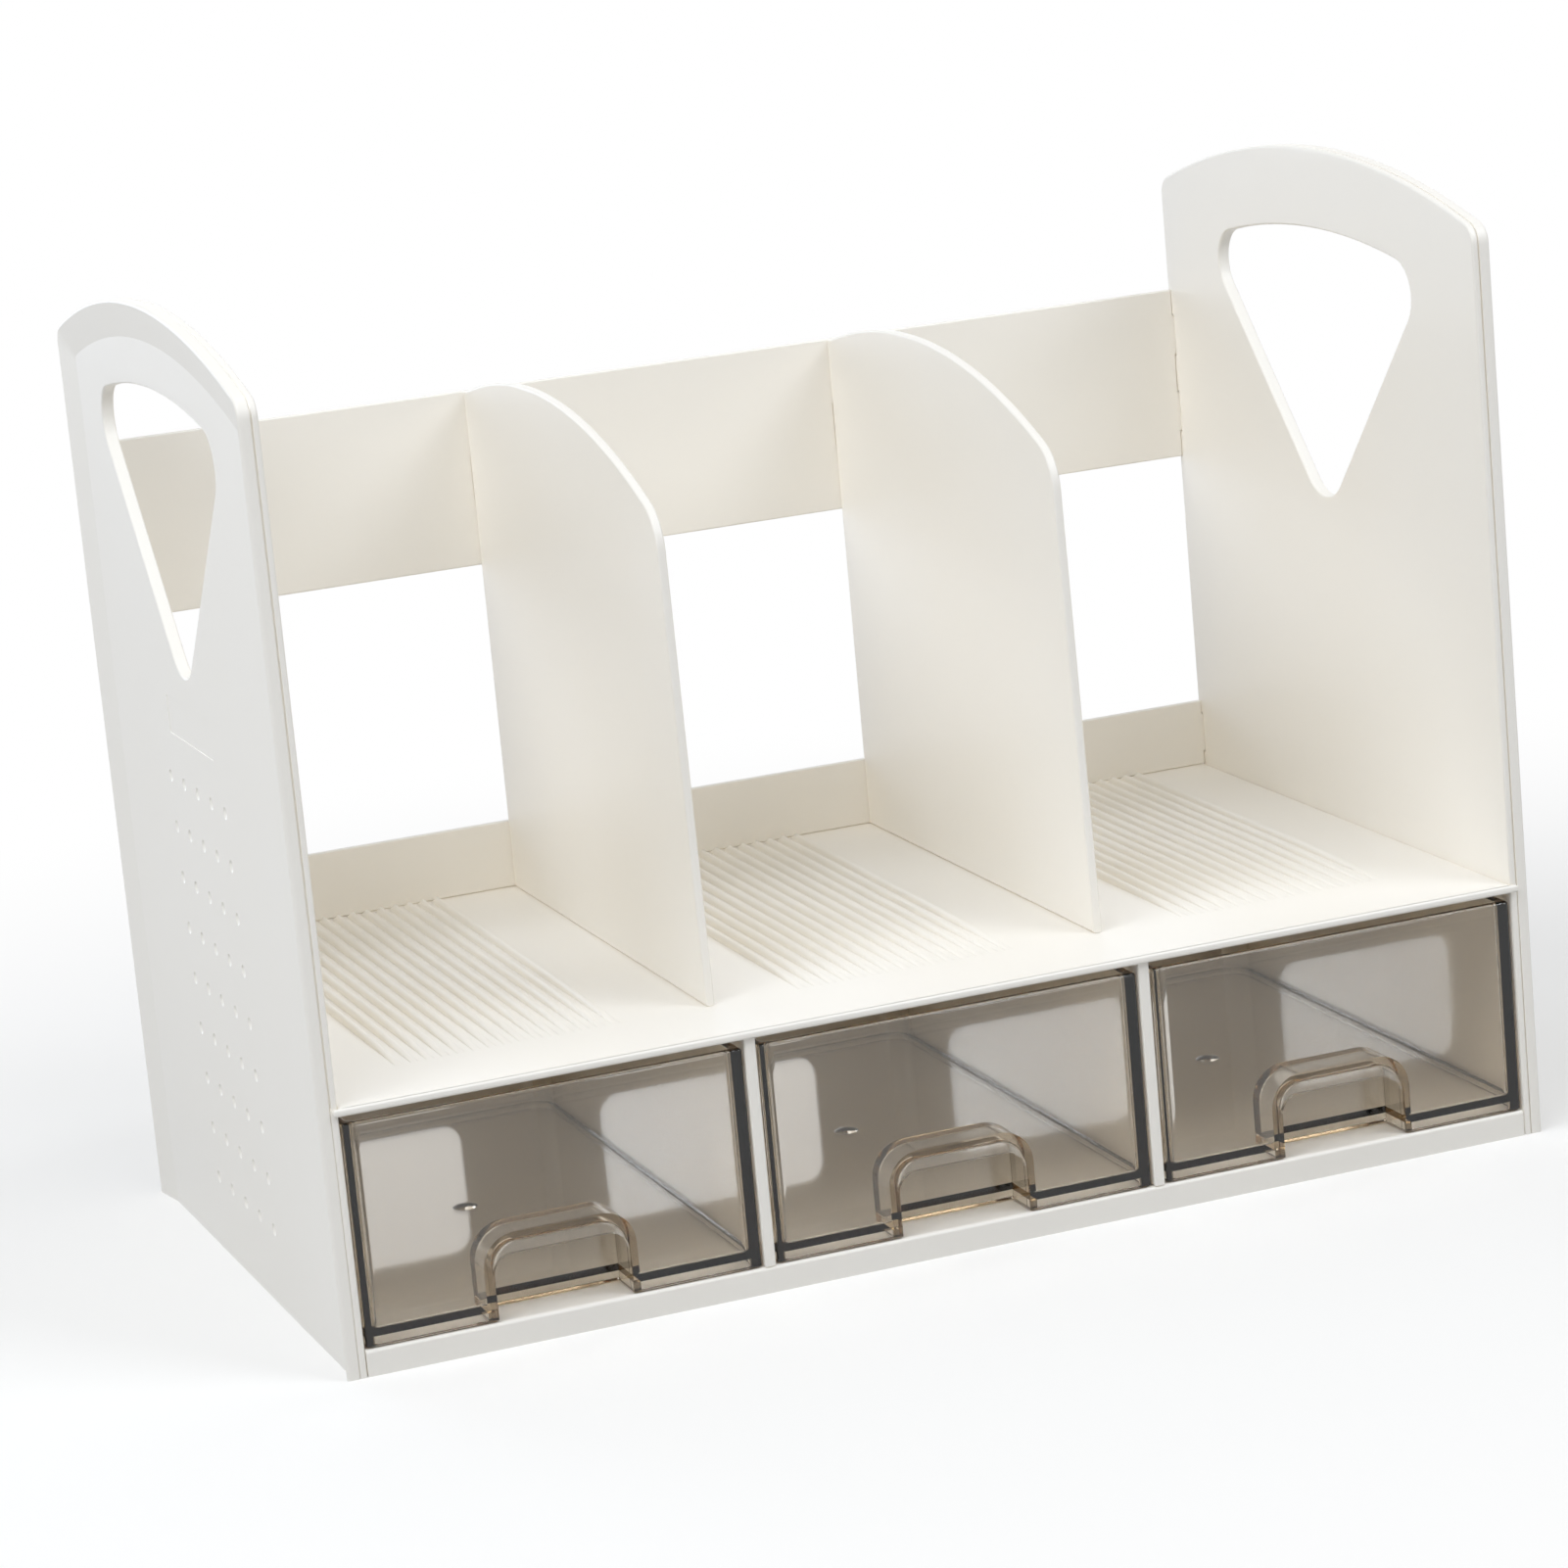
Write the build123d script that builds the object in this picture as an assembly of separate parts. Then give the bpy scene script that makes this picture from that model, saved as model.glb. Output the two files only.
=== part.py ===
from build123d import *
import os

os.makedirs("parts", exist_ok=True)

# All sizes are in millimetres: X to the right, Y to the back, Z up, the front faces -Y.

# Side panels, each an outer shell with a raised rim and a flat inner liner
overall_width = 351.0
panel_depth = 197.0
panel_height = 272.0
panel_arc_rise = 16.0
panel_corner_radius = 6.0
outer_panel_thickness = 3.3
inner_panel_thickness = 2.2
rim_height = 1.9
rim_land = 0.5
front_bevel_width = 1.6
back_bevel_width = 13.0
top_bevel_width = 10.2
field_corner_radius = 2.0
parting_groove_width = 0.6
parting_groove_depth = 0.8

# Carrying hole through each side panel
hole_top_margin = 23.0
hole_half_width = 70.0
hole_tip_z = 164.0
hole_corner_radius = 10.0
hole_tip_radius = 13.0

# Sunk dots and blank label recess on the outer shells
dot_columns = 5
dot_rows = 9
dot_pitch = 14.5
dot_radius = 1.5
dot_depth = 0.6
dot_centre_z = 80.2
label_length = 47.0
label_height = 10.7
label_centre_z = 156.7
label_depth = 0.3

# Snap pegs that hold the shell to the liner
peg_radius = 2.0
peg_length = 1.6
peg_inset = 16.0
peg_foot_z = 35.0
peg_waist_z = 130.0
peg_top_margin = 44.0

# Drawer housing
base_height = 7.4
base_plate_thickness = 2.4
base_skirt_thickness = 2.4
base_front_round = 1.2
rear_thickness = 2.2
partition_thickness = 3.3
drawer_bays = 3
deck_underside_z = 70.7
deck_thickness = 2.2
lip_reach = 1.5
lip_overlap = 1.6
lip_round = 0.8

# Rear windows behind the drawers
window_width = 61.0
window_height = 40.0
window_centre_z = 40.0
window_radius = 6.0

# Grip ridges on the shelf deck
ridge_count = 15
ridge_pitch = 4.35
ridge_width = 3.0
ridge_height = 0.7
ridge_front_margin = 31.0
ridge_back_margin = 5.0

# Back rails and book dividers
upper_rail_bottom_z = 170.7
upper_rail_top_z = 222.4
lower_rail_top_z = 93.1
divider_thickness = 2.6
divider_foot_y = 28.8
divider_shoulder_y = 33.3
divider_shoulder_z = 205.0
divider_crown_y = 115.0
divider_crown_z = 228.7
divider_back_z = 221.8
divider_corner_radius = 14.0

# Drawers
drawer_rear_gap = 16.5
drawer_wall = 2.4
drawer_floor = 2.0
drawer_skid = 2.2
drawer_rear_radius = 9.0
drawer_front_radius = 1.2
drawer_inner_front_radius = 2.5
drawer_floor_fillet = 2.0
drawer_top_gap = 2.5
pocket_half_width = 21.2
pocket_top = 22.9
pocket_depth = 15.0
pocket_radius = 9.5
mouth_drop = 5.5
mouth_radius = 5.5

# Locating tabs, set in from the front and back edges of the panels
tab_length = 16.0
tab_height = 12.0
tab_shortfall = 0.3
partition_tab_bite = 1.2
divider_tab_thickness = 1.8
side_tab_inset = 35.0
partition_tab_inset = 30.0
divider_tab_spacing = 32.0
rail_tab_inset = 14.0

# How deep raised details root in their wall, and how far cuts run past a face
root_depth = 0.3
run_out = 3.0

# Fits
assembly_gap = 0.1
drawer_side_gap = 0.5
drawer_under_gap = 0.4
drawer_front_recess = 0.3

# Shared positions
half_width = overall_width / 2
shell_inner_x = half_width - outer_panel_thickness
liner_inner_x = shell_inner_x - inner_panel_thickness
inner_half = liner_inner_x - assembly_gap
front_y = -(panel_depth - lip_reach) / 2
back_y = front_y + panel_depth
mid_y = (front_y + back_y) / 2
rear_face_y = back_y - rear_thickness
arc_radius = ((panel_depth / 2) ** 2 + panel_arc_rise**2) / (2 * panel_arc_rise)
arc_centre_z = panel_height - arc_radius
deck_top_z = deck_underside_z + deck_thickness
base_plate_z = base_height - base_plate_thickness
bay_width = (2 * liner_inner_x - (drawer_bays - 1) * partition_thickness) / drawer_bays
bay_pitch = bay_width + partition_thickness
partition_x = bay_pitch / 2
drawer_depth = panel_depth - rear_thickness - drawer_rear_gap - drawer_front_recess
side_tab_ys = (front_y + side_tab_inset, mid_y, back_y - side_tab_inset)
upper_rail_tab_zs = (upper_rail_bottom_z + rail_tab_inset, upper_rail_top_z - rail_tab_inset)
lower_rail_tab_zs = ((deck_top_z + lower_rail_top_z) / 2,)
rear_tab_zs = (window_centre_z,)
partition_tab_ys = (front_y + partition_tab_inset, back_y - partition_tab_inset)
divider_tab_ys = (mid_y - divider_tab_spacing / 2, mid_y + divider_tab_spacing / 2)
divider_hook_z = (upper_rail_bottom_z + upper_rail_top_z) / 2


def block(x_low, x_high, y_low, y_high, z_low, z_high):
    """Square-edged block between two corners."""
    size = Box(x_high - x_low, y_high - y_low, z_high - z_low)
    return Pos((x_low + x_high) / 2, (y_low + y_high) / 2, (z_low + z_high) / 2) * size


def run_x(outline, x_low, x_high):
    """Side-view outline run from x_low to x_high."""
    return extrude(Plane.YZ.offset(x_low) * outline, amount=x_high - x_low)


def run_y(outline, y_low, y_high):
    """Front-view outline run from y_low to y_high."""
    return extrude(Plane.XZ.offset(-y_high) * outline, amount=y_high - y_low)


def arc_z(y, drop):
    """Height of the panel's top arc at y, lowered by drop."""
    return arc_centre_z + ((arc_radius - drop) ** 2 - (y - mid_y) ** 2) ** 0.5


def arched_outline(y_low, y_high, z_low, drop):
    """Side view with straight front, back and foot under the top arc."""
    front_top = (y_low, arc_z(y_low, drop))
    back_top = (y_high, arc_z(y_high, drop))
    crown = (mid_y, arc_z(mid_y, drop))
    foot = Line((y_low, z_low), (y_high, z_low))
    back = Line((y_high, z_low), back_top)
    arc = ThreePointArc(back_top, crown, front_top)
    front = Line(front_top, (y_low, z_low))
    return make_face([foot, back, arc, front])


def round_top_corners(outline, radius):
    """Outline with its two highest corners rounded."""
    return fillet(outline.vertices().sort_by(Axis.Y)[-2:], radius)


def panel_outline():
    """Full side-panel outline with rounded top corners."""
    return round_top_corners(arched_outline(front_y, back_y, 0, 0), panel_corner_radius)


def hole_outline():
    """Rounded triangle of the carrying hole, its top following the panel's arc."""
    front_corner = (mid_y - hole_half_width, arc_z(mid_y - hole_half_width, hole_top_margin))
    back_corner = (mid_y + hole_half_width, arc_z(mid_y + hole_half_width, hole_top_margin))
    crown = (mid_y, arc_z(mid_y, hole_top_margin))
    tip = (mid_y, hole_tip_z)
    top = ThreePointArc(front_corner, crown, back_corner)
    outline = make_face([top, Line(back_corner, tip), Line(tip, front_corner)])
    outline = fillet(outline.vertices().sort_by(Axis.Y)[:1], hole_tip_radius)
    return round_top_corners(outline, hole_corner_radius)


def peg_places():
    """Side-view positions of the snap pegs."""
    columns = (front_y + peg_inset, back_y - peg_inset)
    heights = (peg_foot_z, peg_waist_z, panel_height - peg_top_margin)
    return [(y, z) for y in columns for z in heights]


def rounded_block(x_low, x_high, y_low, y_high, z_low, z_high, front_radius, rear_radius):
    """Block whose upright front and rear corners are rounded."""
    solid = block(x_low, x_high, y_low, y_high, z_low, z_high)
    uprights = solid.edges().filter_by(Axis.Z)
    solid = fillet(uprights.group_by(Axis.Y)[-1], rear_radius)
    uprights = solid.edges().filter_by(Axis.Z)
    return fillet(uprights.group_by(Axis.Y)[0], front_radius)


def arch_outline(centre_x, half, z_low, z_high, radius):
    """Front view of an arch with straight legs and rounded shoulders."""
    outline = Pos(centre_x, (z_low + z_high) / 2) * Rectangle(2 * half, z_high - z_low)
    return round_top_corners(outline, radius)


def side_tabs(z_low, z_high):
    """Locating tabs on both ends of a plate, one at each shared tab position."""
    tabs = []
    for y in side_tab_ys:
        reach = inner_half + inner_panel_thickness - tab_shortfall
        y_low = y - tab_length / 2
        y_high = y + tab_length / 2
        tabs.append(block(-reach, -inner_half, y_low, y_high, z_low, z_high))
        tabs.append(block(inner_half, reach, y_low, y_high, z_low, z_high))
    return tabs


def rail_tabs(z_centres):
    """Locating tabs on both ends of an upright rail."""
    tabs = []
    for z in z_centres:
        reach = inner_half + inner_panel_thickness - tab_shortfall
        z_low = z - tab_height / 2
        z_high = z + tab_height / 2
        tabs.append(block(-reach, -inner_half, rear_face_y, back_y, z_low, z_high))
        tabs.append(block(inner_half, reach, rear_face_y, back_y, z_low, z_high))
    return tabs


def make_left_outer_panel():
    """Outer shell of the left side, its flat field sunk inside a sloping rim."""
    panel = run_x(panel_outline(), -half_width, -shell_inner_x)
    field_x = -half_width + rim_height
    rim_radius = panel_corner_radius - rim_land
    rim_face = arched_outline(front_y + rim_land, back_y - rim_land, -run_out, rim_land)
    rim_face = round_top_corners(rim_face, rim_radius)
    field_front_y = front_y + front_bevel_width
    field_back_y = back_y - back_bevel_width
    field_face = arched_outline(field_front_y, field_back_y, -run_out, top_bevel_width)
    field_face = round_top_corners(field_face, field_corner_radius)
    dish = loft([Plane.YZ.offset(-half_width) * rim_face, Plane.YZ.offset(field_x) * field_face], ruled=True)
    panel -= dish
    panel -= run_x(hole_outline(), -half_width, -shell_inner_x)
    dots = [
        Pos(mid_y, dot_centre_z) * spot * Circle(dot_radius)
        for spot in GridLocations(dot_pitch, dot_pitch, dot_columns, dot_rows)
    ]
    panel -= [run_x(dot, field_x, field_x + dot_depth) for dot in dots]
    label = Pos(mid_y, label_centre_z) * Rectangle(label_length, label_height)
    panel -= run_x(label, field_x, field_x + label_depth)
    pegs = [Pos(y, z) * Circle(peg_radius) for y, z in peg_places()]
    panel += [run_x(peg, -shell_inner_x - root_depth, -shell_inner_x + peg_length) for peg in pegs]
    return panel


def make_left_inner_panel():
    """Inner liner of the left side, slotted for the tabs of the plates it carries."""
    panel = run_x(panel_outline(), -shell_inner_x, -liner_inner_x)
    panel -= run_x(hole_outline(), -shell_inner_x, -liner_inner_x)
    panel -= block(
        -shell_inner_x,
        -shell_inner_x + parting_groove_width,
        front_y,
        front_y + parting_groove_depth,
        deck_top_z,
        panel_height,
    )
    sockets = [Pos(y, z) * Circle(peg_radius + assembly_gap) for y, z in peg_places()]
    panel -= [run_x(socket, -shell_inner_x, -shell_inner_x + peg_length + assembly_gap) for socket in sockets]
    slots = []
    for y in side_tab_ys:
        y_low = y - tab_length / 2 - assembly_gap
        y_high = y + tab_length / 2 + assembly_gap
        for z_low, z_high in ((base_plate_z, base_height), (deck_underside_z, deck_top_z)):
            slots.append(
                block(
                    -shell_inner_x,
                    -liner_inner_x,
                    y_low,
                    y_high,
                    z_low - assembly_gap,
                    z_high + assembly_gap,
                )
            )
    for z in upper_rail_tab_zs + lower_rail_tab_zs + rear_tab_zs:
        z_low = z - tab_height / 2 - assembly_gap
        z_high = z + tab_height / 2 + assembly_gap
        slots.append(block(-shell_inner_x, -liner_inner_x, rear_face_y - assembly_gap, back_y, z_low, z_high))
    return panel - slots


def make_base_plate():
    """Base of the drawer housing: a plate on skirts and ribs, hollow underneath."""
    rear_y = rear_face_y - assembly_gap
    plate = block(-inner_half, inner_half, front_y, rear_y, 0, base_height)
    top_front = plate.edges().filter_by(Axis.X).group_by(Axis.Y)[0].sort_by(Axis.Z)[-1]
    plate = fillet([top_front], base_front_round)
    edges_x = [-inner_half, -partition_x, partition_x, inner_half]
    for left, right in zip(edges_x[:-1], edges_x[1:]):
        plate -= block(
            left + base_skirt_thickness,
            right - base_skirt_thickness,
            front_y + base_skirt_thickness,
            rear_y - base_skirt_thickness,
            0,
            base_plate_z,
        )
    plate += side_tabs(base_plate_z, base_height)
    half = partition_thickness / 2 + assembly_gap
    for x in (-partition_x, partition_x):
        for y in partition_tab_ys:
            y_low = y - tab_length / 2 - assembly_gap
            y_high = y + tab_length / 2 + assembly_gap
            plate -= block(x - half, x + half, y_low, y_high, base_plate_z, base_height)
    return plate


def make_rear_panel():
    """Rear wall of the drawer housing with one round-cornered window behind each drawer."""
    panel = block(-inner_half, inner_half, rear_face_y, back_y, 0, deck_underside_z - assembly_gap)
    for index in range(drawer_bays):
        x = (index - (drawer_bays - 1) / 2) * bay_pitch
        window = Pos(x, window_centre_z) * RectangleRounded(window_width, window_height, window_radius)
        panel -= run_y(window, rear_face_y, back_y)
    return panel + rail_tabs(rear_tab_zs)


def make_partition(x):
    """Upright wall between two drawer bays, tabbed into the base and the deck."""
    half = partition_thickness / 2
    rear_y = rear_face_y - assembly_gap
    z_low = base_height + assembly_gap
    z_high = deck_underside_z - assembly_gap
    wall = block(x - half, x + half, front_y, rear_y, z_low, z_high)
    for y in partition_tab_ys:
        y_low = y - tab_length / 2
        y_high = y + tab_length / 2
        low_tab_z = base_plate_z + tab_shortfall
        high_tab_z = deck_underside_z + partition_tab_bite
        wall += block(x - half, x + half, y_low, y_high, low_tab_z, high_tab_z)
    return wall


def make_shelf_deck():
    """Shelf over the drawers with a thin front lip and grip ridges in each compartment."""
    lip_half = liner_inner_x + lip_overlap
    lip_back_y = front_y - assembly_gap
    lip = block(-lip_half, lip_half, front_y - lip_reach, lip_back_y, deck_underside_z, deck_top_z)
    lip_front = lip.edges().filter_by(Axis.X).group_by(Axis.Y)[0]
    lip = fillet(lip_front, lip_round)
    deck = block(-inner_half, inner_half, lip_back_y, back_y, deck_underside_z, deck_top_z)
    deck += lip
    deck += side_tabs(deck_underside_z, deck_top_z)
    half_chord = ridge_width / 2
    profile = make_face(
        [
            ThreePointArc((-half_chord, 0), (0, ridge_height), (half_chord, 0)),
            Line((half_chord, 0), (half_chord, -root_depth)),
            Line((half_chord, -root_depth), (-half_chord, -root_depth)),
            Line((-half_chord, -root_depth), (-half_chord, 0)),
        ]
    )
    ridges = []
    for bay in range(drawer_bays):
        centre_x = (bay - (drawer_bays - 1) / 2) * bay_pitch
        for index in range(ridge_count):
            x = centre_x + (index - (ridge_count - 1) / 2) * ridge_pitch
            outline = Pos(x, deck_top_z) * profile
            ridges.append(run_y(outline, front_y + ridge_front_margin, rear_face_y - ridge_back_margin))
    deck += ridges
    slots = []
    wall_half = partition_thickness / 2 + assembly_gap
    wall_slot_z = deck_underside_z + partition_tab_bite + assembly_gap
    blade_half = divider_tab_thickness / 2 + assembly_gap
    slot_rows = ((wall_half, partition_tab_ys, wall_slot_z), (blade_half, divider_tab_ys, deck_top_z))
    for x in (-partition_x, partition_x):
        for half, tab_ys, slot_top_z in slot_rows:
            for y in tab_ys:
                y_low = y - tab_length / 2 - assembly_gap
                y_high = y + tab_length / 2 + assembly_gap
                slots.append(block(x - half, x + half, y_low, y_high, deck_underside_z, slot_top_z))
    return deck - slots


def make_divider(x):
    """Book divider with an arched top, a large rounded front shoulder and locating tabs."""
    rear_y = rear_face_y - assembly_gap
    foot_z = deck_top_z + assembly_gap
    foot_front = (front_y + divider_foot_y, foot_z)
    shoulder = (front_y + divider_shoulder_y, divider_shoulder_z)
    crown = (front_y + divider_crown_y, divider_crown_z)
    back_top = (rear_y, divider_back_z)
    foot_back = (rear_y, foot_z)
    outline = make_face(
        [
            Line(foot_front, shoulder),
            ThreePointArc(shoulder, crown, back_top),
            Line(back_top, foot_back),
            Line(foot_back, foot_front),
        ]
    )
    near_shoulder = outline.vertices().group_by(Axis.Y)[1].sort_by(Axis.X)[:1]
    outline = fillet(near_shoulder, divider_corner_radius)
    half = divider_thickness / 2
    blade = run_x(outline, x - half, x + half)
    tab_half = divider_tab_thickness / 2
    tab_foot_z = deck_underside_z + tab_shortfall
    for y in divider_tab_ys:
        y_low = y - tab_length / 2
        y_high = y + tab_length / 2
        blade += block(x - tab_half, x + tab_half, y_low, y_high, tab_foot_z, foot_z + root_depth)
    hook_low = divider_hook_z - tab_height / 2
    hook_high = divider_hook_z + tab_height / 2
    hook_back_y = back_y - tab_shortfall
    hook = block(x - tab_half, x + tab_half, rear_y - root_depth, hook_back_y, hook_low, hook_high)
    return blade + hook


def make_upper_back_rail():
    """Band across the back at the top of the dividers, slotted for their hooks."""
    rail = block(-inner_half, inner_half, rear_face_y, back_y, upper_rail_bottom_z, upper_rail_top_z)
    rail += rail_tabs(upper_rail_tab_zs)
    half = divider_tab_thickness / 2 + assembly_gap
    hook_low = divider_hook_z - tab_height / 2 - assembly_gap
    hook_high = divider_hook_z + tab_height / 2 + assembly_gap
    for x in (-partition_x, partition_x):
        rail -= block(x - half, x + half, rear_face_y, back_y, hook_low, hook_high)
    return rail


def make_lower_back_rail():
    """Low upstand at the back of the shelf."""
    rail = block(-inner_half, inner_half, rear_face_y, back_y, deck_top_z + assembly_gap, lower_rail_top_z)
    return rail + rail_tabs(lower_rail_tab_zs)


def make_drawer(centre_x):
    """Clear drawer tub on skids with a finger pocket let into the foot of its front."""
    half = bay_width / 2 - drawer_side_gap
    face_y = front_y + drawer_front_recess
    rear_y = face_y + drawer_depth
    z_low = base_height + drawer_under_gap
    z_high = deck_underside_z - drawer_top_gap
    floor_z = z_low + drawer_skid
    inner_x = half - drawer_wall
    inner_front_y = face_y + drawer_wall
    inner_rear_y = rear_y - drawer_wall
    inner_rear_radius = drawer_rear_radius - drawer_wall
    tub = rounded_block(
        centre_x - half,
        centre_x + half,
        face_y,
        rear_y,
        z_low,
        z_high,
        drawer_front_radius,
        drawer_rear_radius,
    )
    cavity = rounded_block(
        centre_x - inner_x,
        centre_x + inner_x,
        inner_front_y,
        inner_rear_y,
        floor_z + drawer_floor,
        z_high + run_out,
        drawer_inner_front_radius,
        inner_rear_radius,
    )
    cavity = fillet(cavity.faces().sort_by(Axis.Z)[0].edges(), drawer_floor_fillet)
    under = rounded_block(
        centre_x - inner_x,
        centre_x + inner_x,
        inner_front_y,
        inner_rear_y,
        z_low,
        floor_z,
        drawer_front_radius,
        inner_rear_radius,
    )
    tub = tub - cavity - under
    pocket_top_z = z_low + pocket_top
    shell = arch_outline(centre_x, pocket_half_width, z_low, pocket_top_z, pocket_radius)
    tub += run_y(shell, face_y, face_y + pocket_depth)
    finger_half = pocket_half_width - drawer_wall
    ceiling_z = pocket_top_z - drawer_wall
    finger_radius = pocket_radius - drawer_wall
    finger = arch_outline(centre_x, finger_half, z_low, ceiling_z, finger_radius)
    tub -= run_y(finger, inner_front_y, face_y + pocket_depth - drawer_wall)
    mouth = arch_outline(centre_x, finger_half, z_low, pocket_top_z - mouth_drop, mouth_radius)
    return tub - run_y(mouth, face_y, inner_front_y)


left_outer_panel = make_left_outer_panel()
left_inner_panel = make_left_inner_panel()

pieces = {
    "left_outer_panel": left_outer_panel,
    "right_outer_panel": mirror(left_outer_panel, about=Plane.YZ),
    "left_inner_panel": left_inner_panel,
    "right_inner_panel": mirror(left_inner_panel, about=Plane.YZ),
    "base_plate": make_base_plate(),
    "rear_panel": make_rear_panel(),
    "left_partition": make_partition(-partition_x),
    "right_partition": make_partition(partition_x),
    "shelf_deck": make_shelf_deck(),
    "left_divider": make_divider(-partition_x),
    "right_divider": make_divider(partition_x),
    "upper_back_rail": make_upper_back_rail(),
    "lower_back_rail": make_lower_back_rail(),
    "left_drawer": make_drawer(-bay_pitch),
    "middle_drawer": make_drawer(0),
    "right_drawer": make_drawer(bay_pitch),
}

for name, piece in pieces.items():
    export_step(piece, f"parts/{name}.step")
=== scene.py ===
"""Looks of a desktop organizer: an ivory moulded stand with three smoke-tinted drawers.

Sizes of the pieces are in millimetres until a mesh is finished, when it is scaled to the frame's
metres. The studio's own sizes are in metres.
"""

import logging
import math
from dataclasses import dataclass, field
from enum import Enum
from typing import Any, Sequence

import bmesh
import bpy
from bpy.types import GeometryNodeTree, Material, Node, NodeOutputs
from bpy.types import NodeSocket, NodeTree, Object, World
from mathutils import Matrix, Vector
from mathutils.geometry import tessellate_polygon

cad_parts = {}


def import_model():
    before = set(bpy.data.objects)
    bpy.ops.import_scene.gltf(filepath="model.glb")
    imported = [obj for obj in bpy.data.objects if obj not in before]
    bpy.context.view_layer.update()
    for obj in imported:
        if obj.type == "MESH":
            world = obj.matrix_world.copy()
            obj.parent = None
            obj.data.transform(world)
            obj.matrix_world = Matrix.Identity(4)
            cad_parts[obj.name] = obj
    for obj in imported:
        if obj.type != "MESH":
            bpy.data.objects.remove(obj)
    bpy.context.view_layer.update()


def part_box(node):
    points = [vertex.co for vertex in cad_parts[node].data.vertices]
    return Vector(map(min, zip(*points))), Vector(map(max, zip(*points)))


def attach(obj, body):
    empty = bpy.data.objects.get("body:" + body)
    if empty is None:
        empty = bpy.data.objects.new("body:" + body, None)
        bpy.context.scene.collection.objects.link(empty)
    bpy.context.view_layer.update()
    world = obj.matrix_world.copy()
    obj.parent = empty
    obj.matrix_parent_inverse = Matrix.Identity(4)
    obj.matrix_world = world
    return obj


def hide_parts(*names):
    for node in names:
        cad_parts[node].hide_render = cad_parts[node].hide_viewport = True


LOG = logging.getLogger("organizer")
MM = 0.001
HOUSING = "housing"
WHITE = (1.0, 1.0, 1.0, 1.0)
WELD = 1e-4  # distance within which points become one
MITRE_LIMIT = 0.3  # least cosine by which a moved corner is stretched
SMOOTH_ANGLE = 32.0  # degrees of turn above which an edge stays sharp
CORNER_STEPS = 6  # stretches of a rounded corner
EDGE_STEPS = 3  # stretches of a rounded edge
SMALL_STEPS = 2  # stretches of a very small rounded edge
BISECTIONS = 40  # halvings in a search
OVERSHOOT = 1.0  # how far a cutter reaches past a face
MINUS = {"operation": "SUBTRACT"}
TIMES = {"operation": "MULTIPLY"}

Point = tuple[float, float]
Triple = tuple[float, float, float]
Loop = list[Point]
Level = tuple[Loop, float]
Ring = list[bmesh.types.BMVert]


class Facing(Enum):
    """The plane of an outline: which of its two coordinates and its place stand for X, Y and Z."""

    SIDE = (2, 0, 1)
    FRONT = (0, 2, 1)
    TOP = (0, 1, 2)

    def place(self, *point: float) -> Vector:
        """Puts an outline point and its place along the thickness into space."""
        return Vector([point[index] for index in self.value])


class Slot(Enum):
    """The record's material slots."""

    IVORY = "ivory_plastic"
    SMOKE = "smoke_plastic"


class Side(Enum):
    """The two carrying sides, with the sign of their X."""

    LEFT = -1
    RIGHT = 1

    @property
    def label(self) -> str:
        """The side's name in lower case."""
        return self.name.lower()


class Change(Enum):
    """What a tool does to a piece."""

    JOIN = "UNION"
    CUT = "DIFFERENCE"


@dataclass(frozen=True)
class Block:
    """A box in millimetres, from its lowest to its highest corner."""

    low: Vector
    high: Vector

    @classmethod
    def of_node(cls, node: str) -> "Block":
        """Reads a CAD node's box from the frame."""
        low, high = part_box(node)
        return cls(low / MM, high / MM)

    @property
    def centre(self) -> Vector:
        """The middle of the box."""
        return (self.low + self.high) / 2


def linear(hex_colour: str) -> tuple[float, float, float, float]:
    """Turns an sRGB hex value into linear colour by the sRGB standard's own curve.

    Args:
        hex_colour: Colour such as "#F2EEE4".

    Returns:
        Linear red, green, blue and an alpha of one.
    """
    channels = [int(hex_colour[start : start + 2], 16) / 255 for start in (1, 3, 5)]
    low, high = [c / 12.92 for c in channels], [((c + 0.055) / 1.055) ** 2.4 for c in channels]
    red, green, blue = (h if c > 0.04045 else l for c, l, h in zip(channels, low, high))
    return red, green, blue, 1.0


def add_node(
    tree: NodeTree,
    kind: str,
    settings: dict[str, Any] | None = None,
    inputs: dict[str | int, Any] | None = None,
) -> Node:
    """Adds a node, sets its properties and fills or links its inputs.

    Args:
        tree: Tree that takes the node.
        kind: Blender's type name of the node.
        settings: Properties of the node by name.
        inputs: By input name or number: a value, an output socket to link from, or a node whose
            first output in use is linked.

    Returns:
        The new node.
    """
    node = tree.nodes.new(kind)
    for name, value in (settings or {}).items():
        setattr(node, name, value)
    for name, value in (inputs or {}).items():
        if isinstance(value, Node):
            value = next(socket for socket in value.outputs if socket.enabled)
        if isinstance(value, NodeSocket):
            tree.links.new(value, node.inputs[name])
        else:
            node.inputs[name].default_value = value
    return node


def empty_tree(holder: Material | World) -> NodeTree:
    """Gives a material or world a node tree without nodes.

    Args:
        holder: The material or world.

    Returns:
        Its tree.
    """
    holder.use_nodes = True
    holder.node_tree.nodes.clear()
    return holder.node_tree


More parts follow.
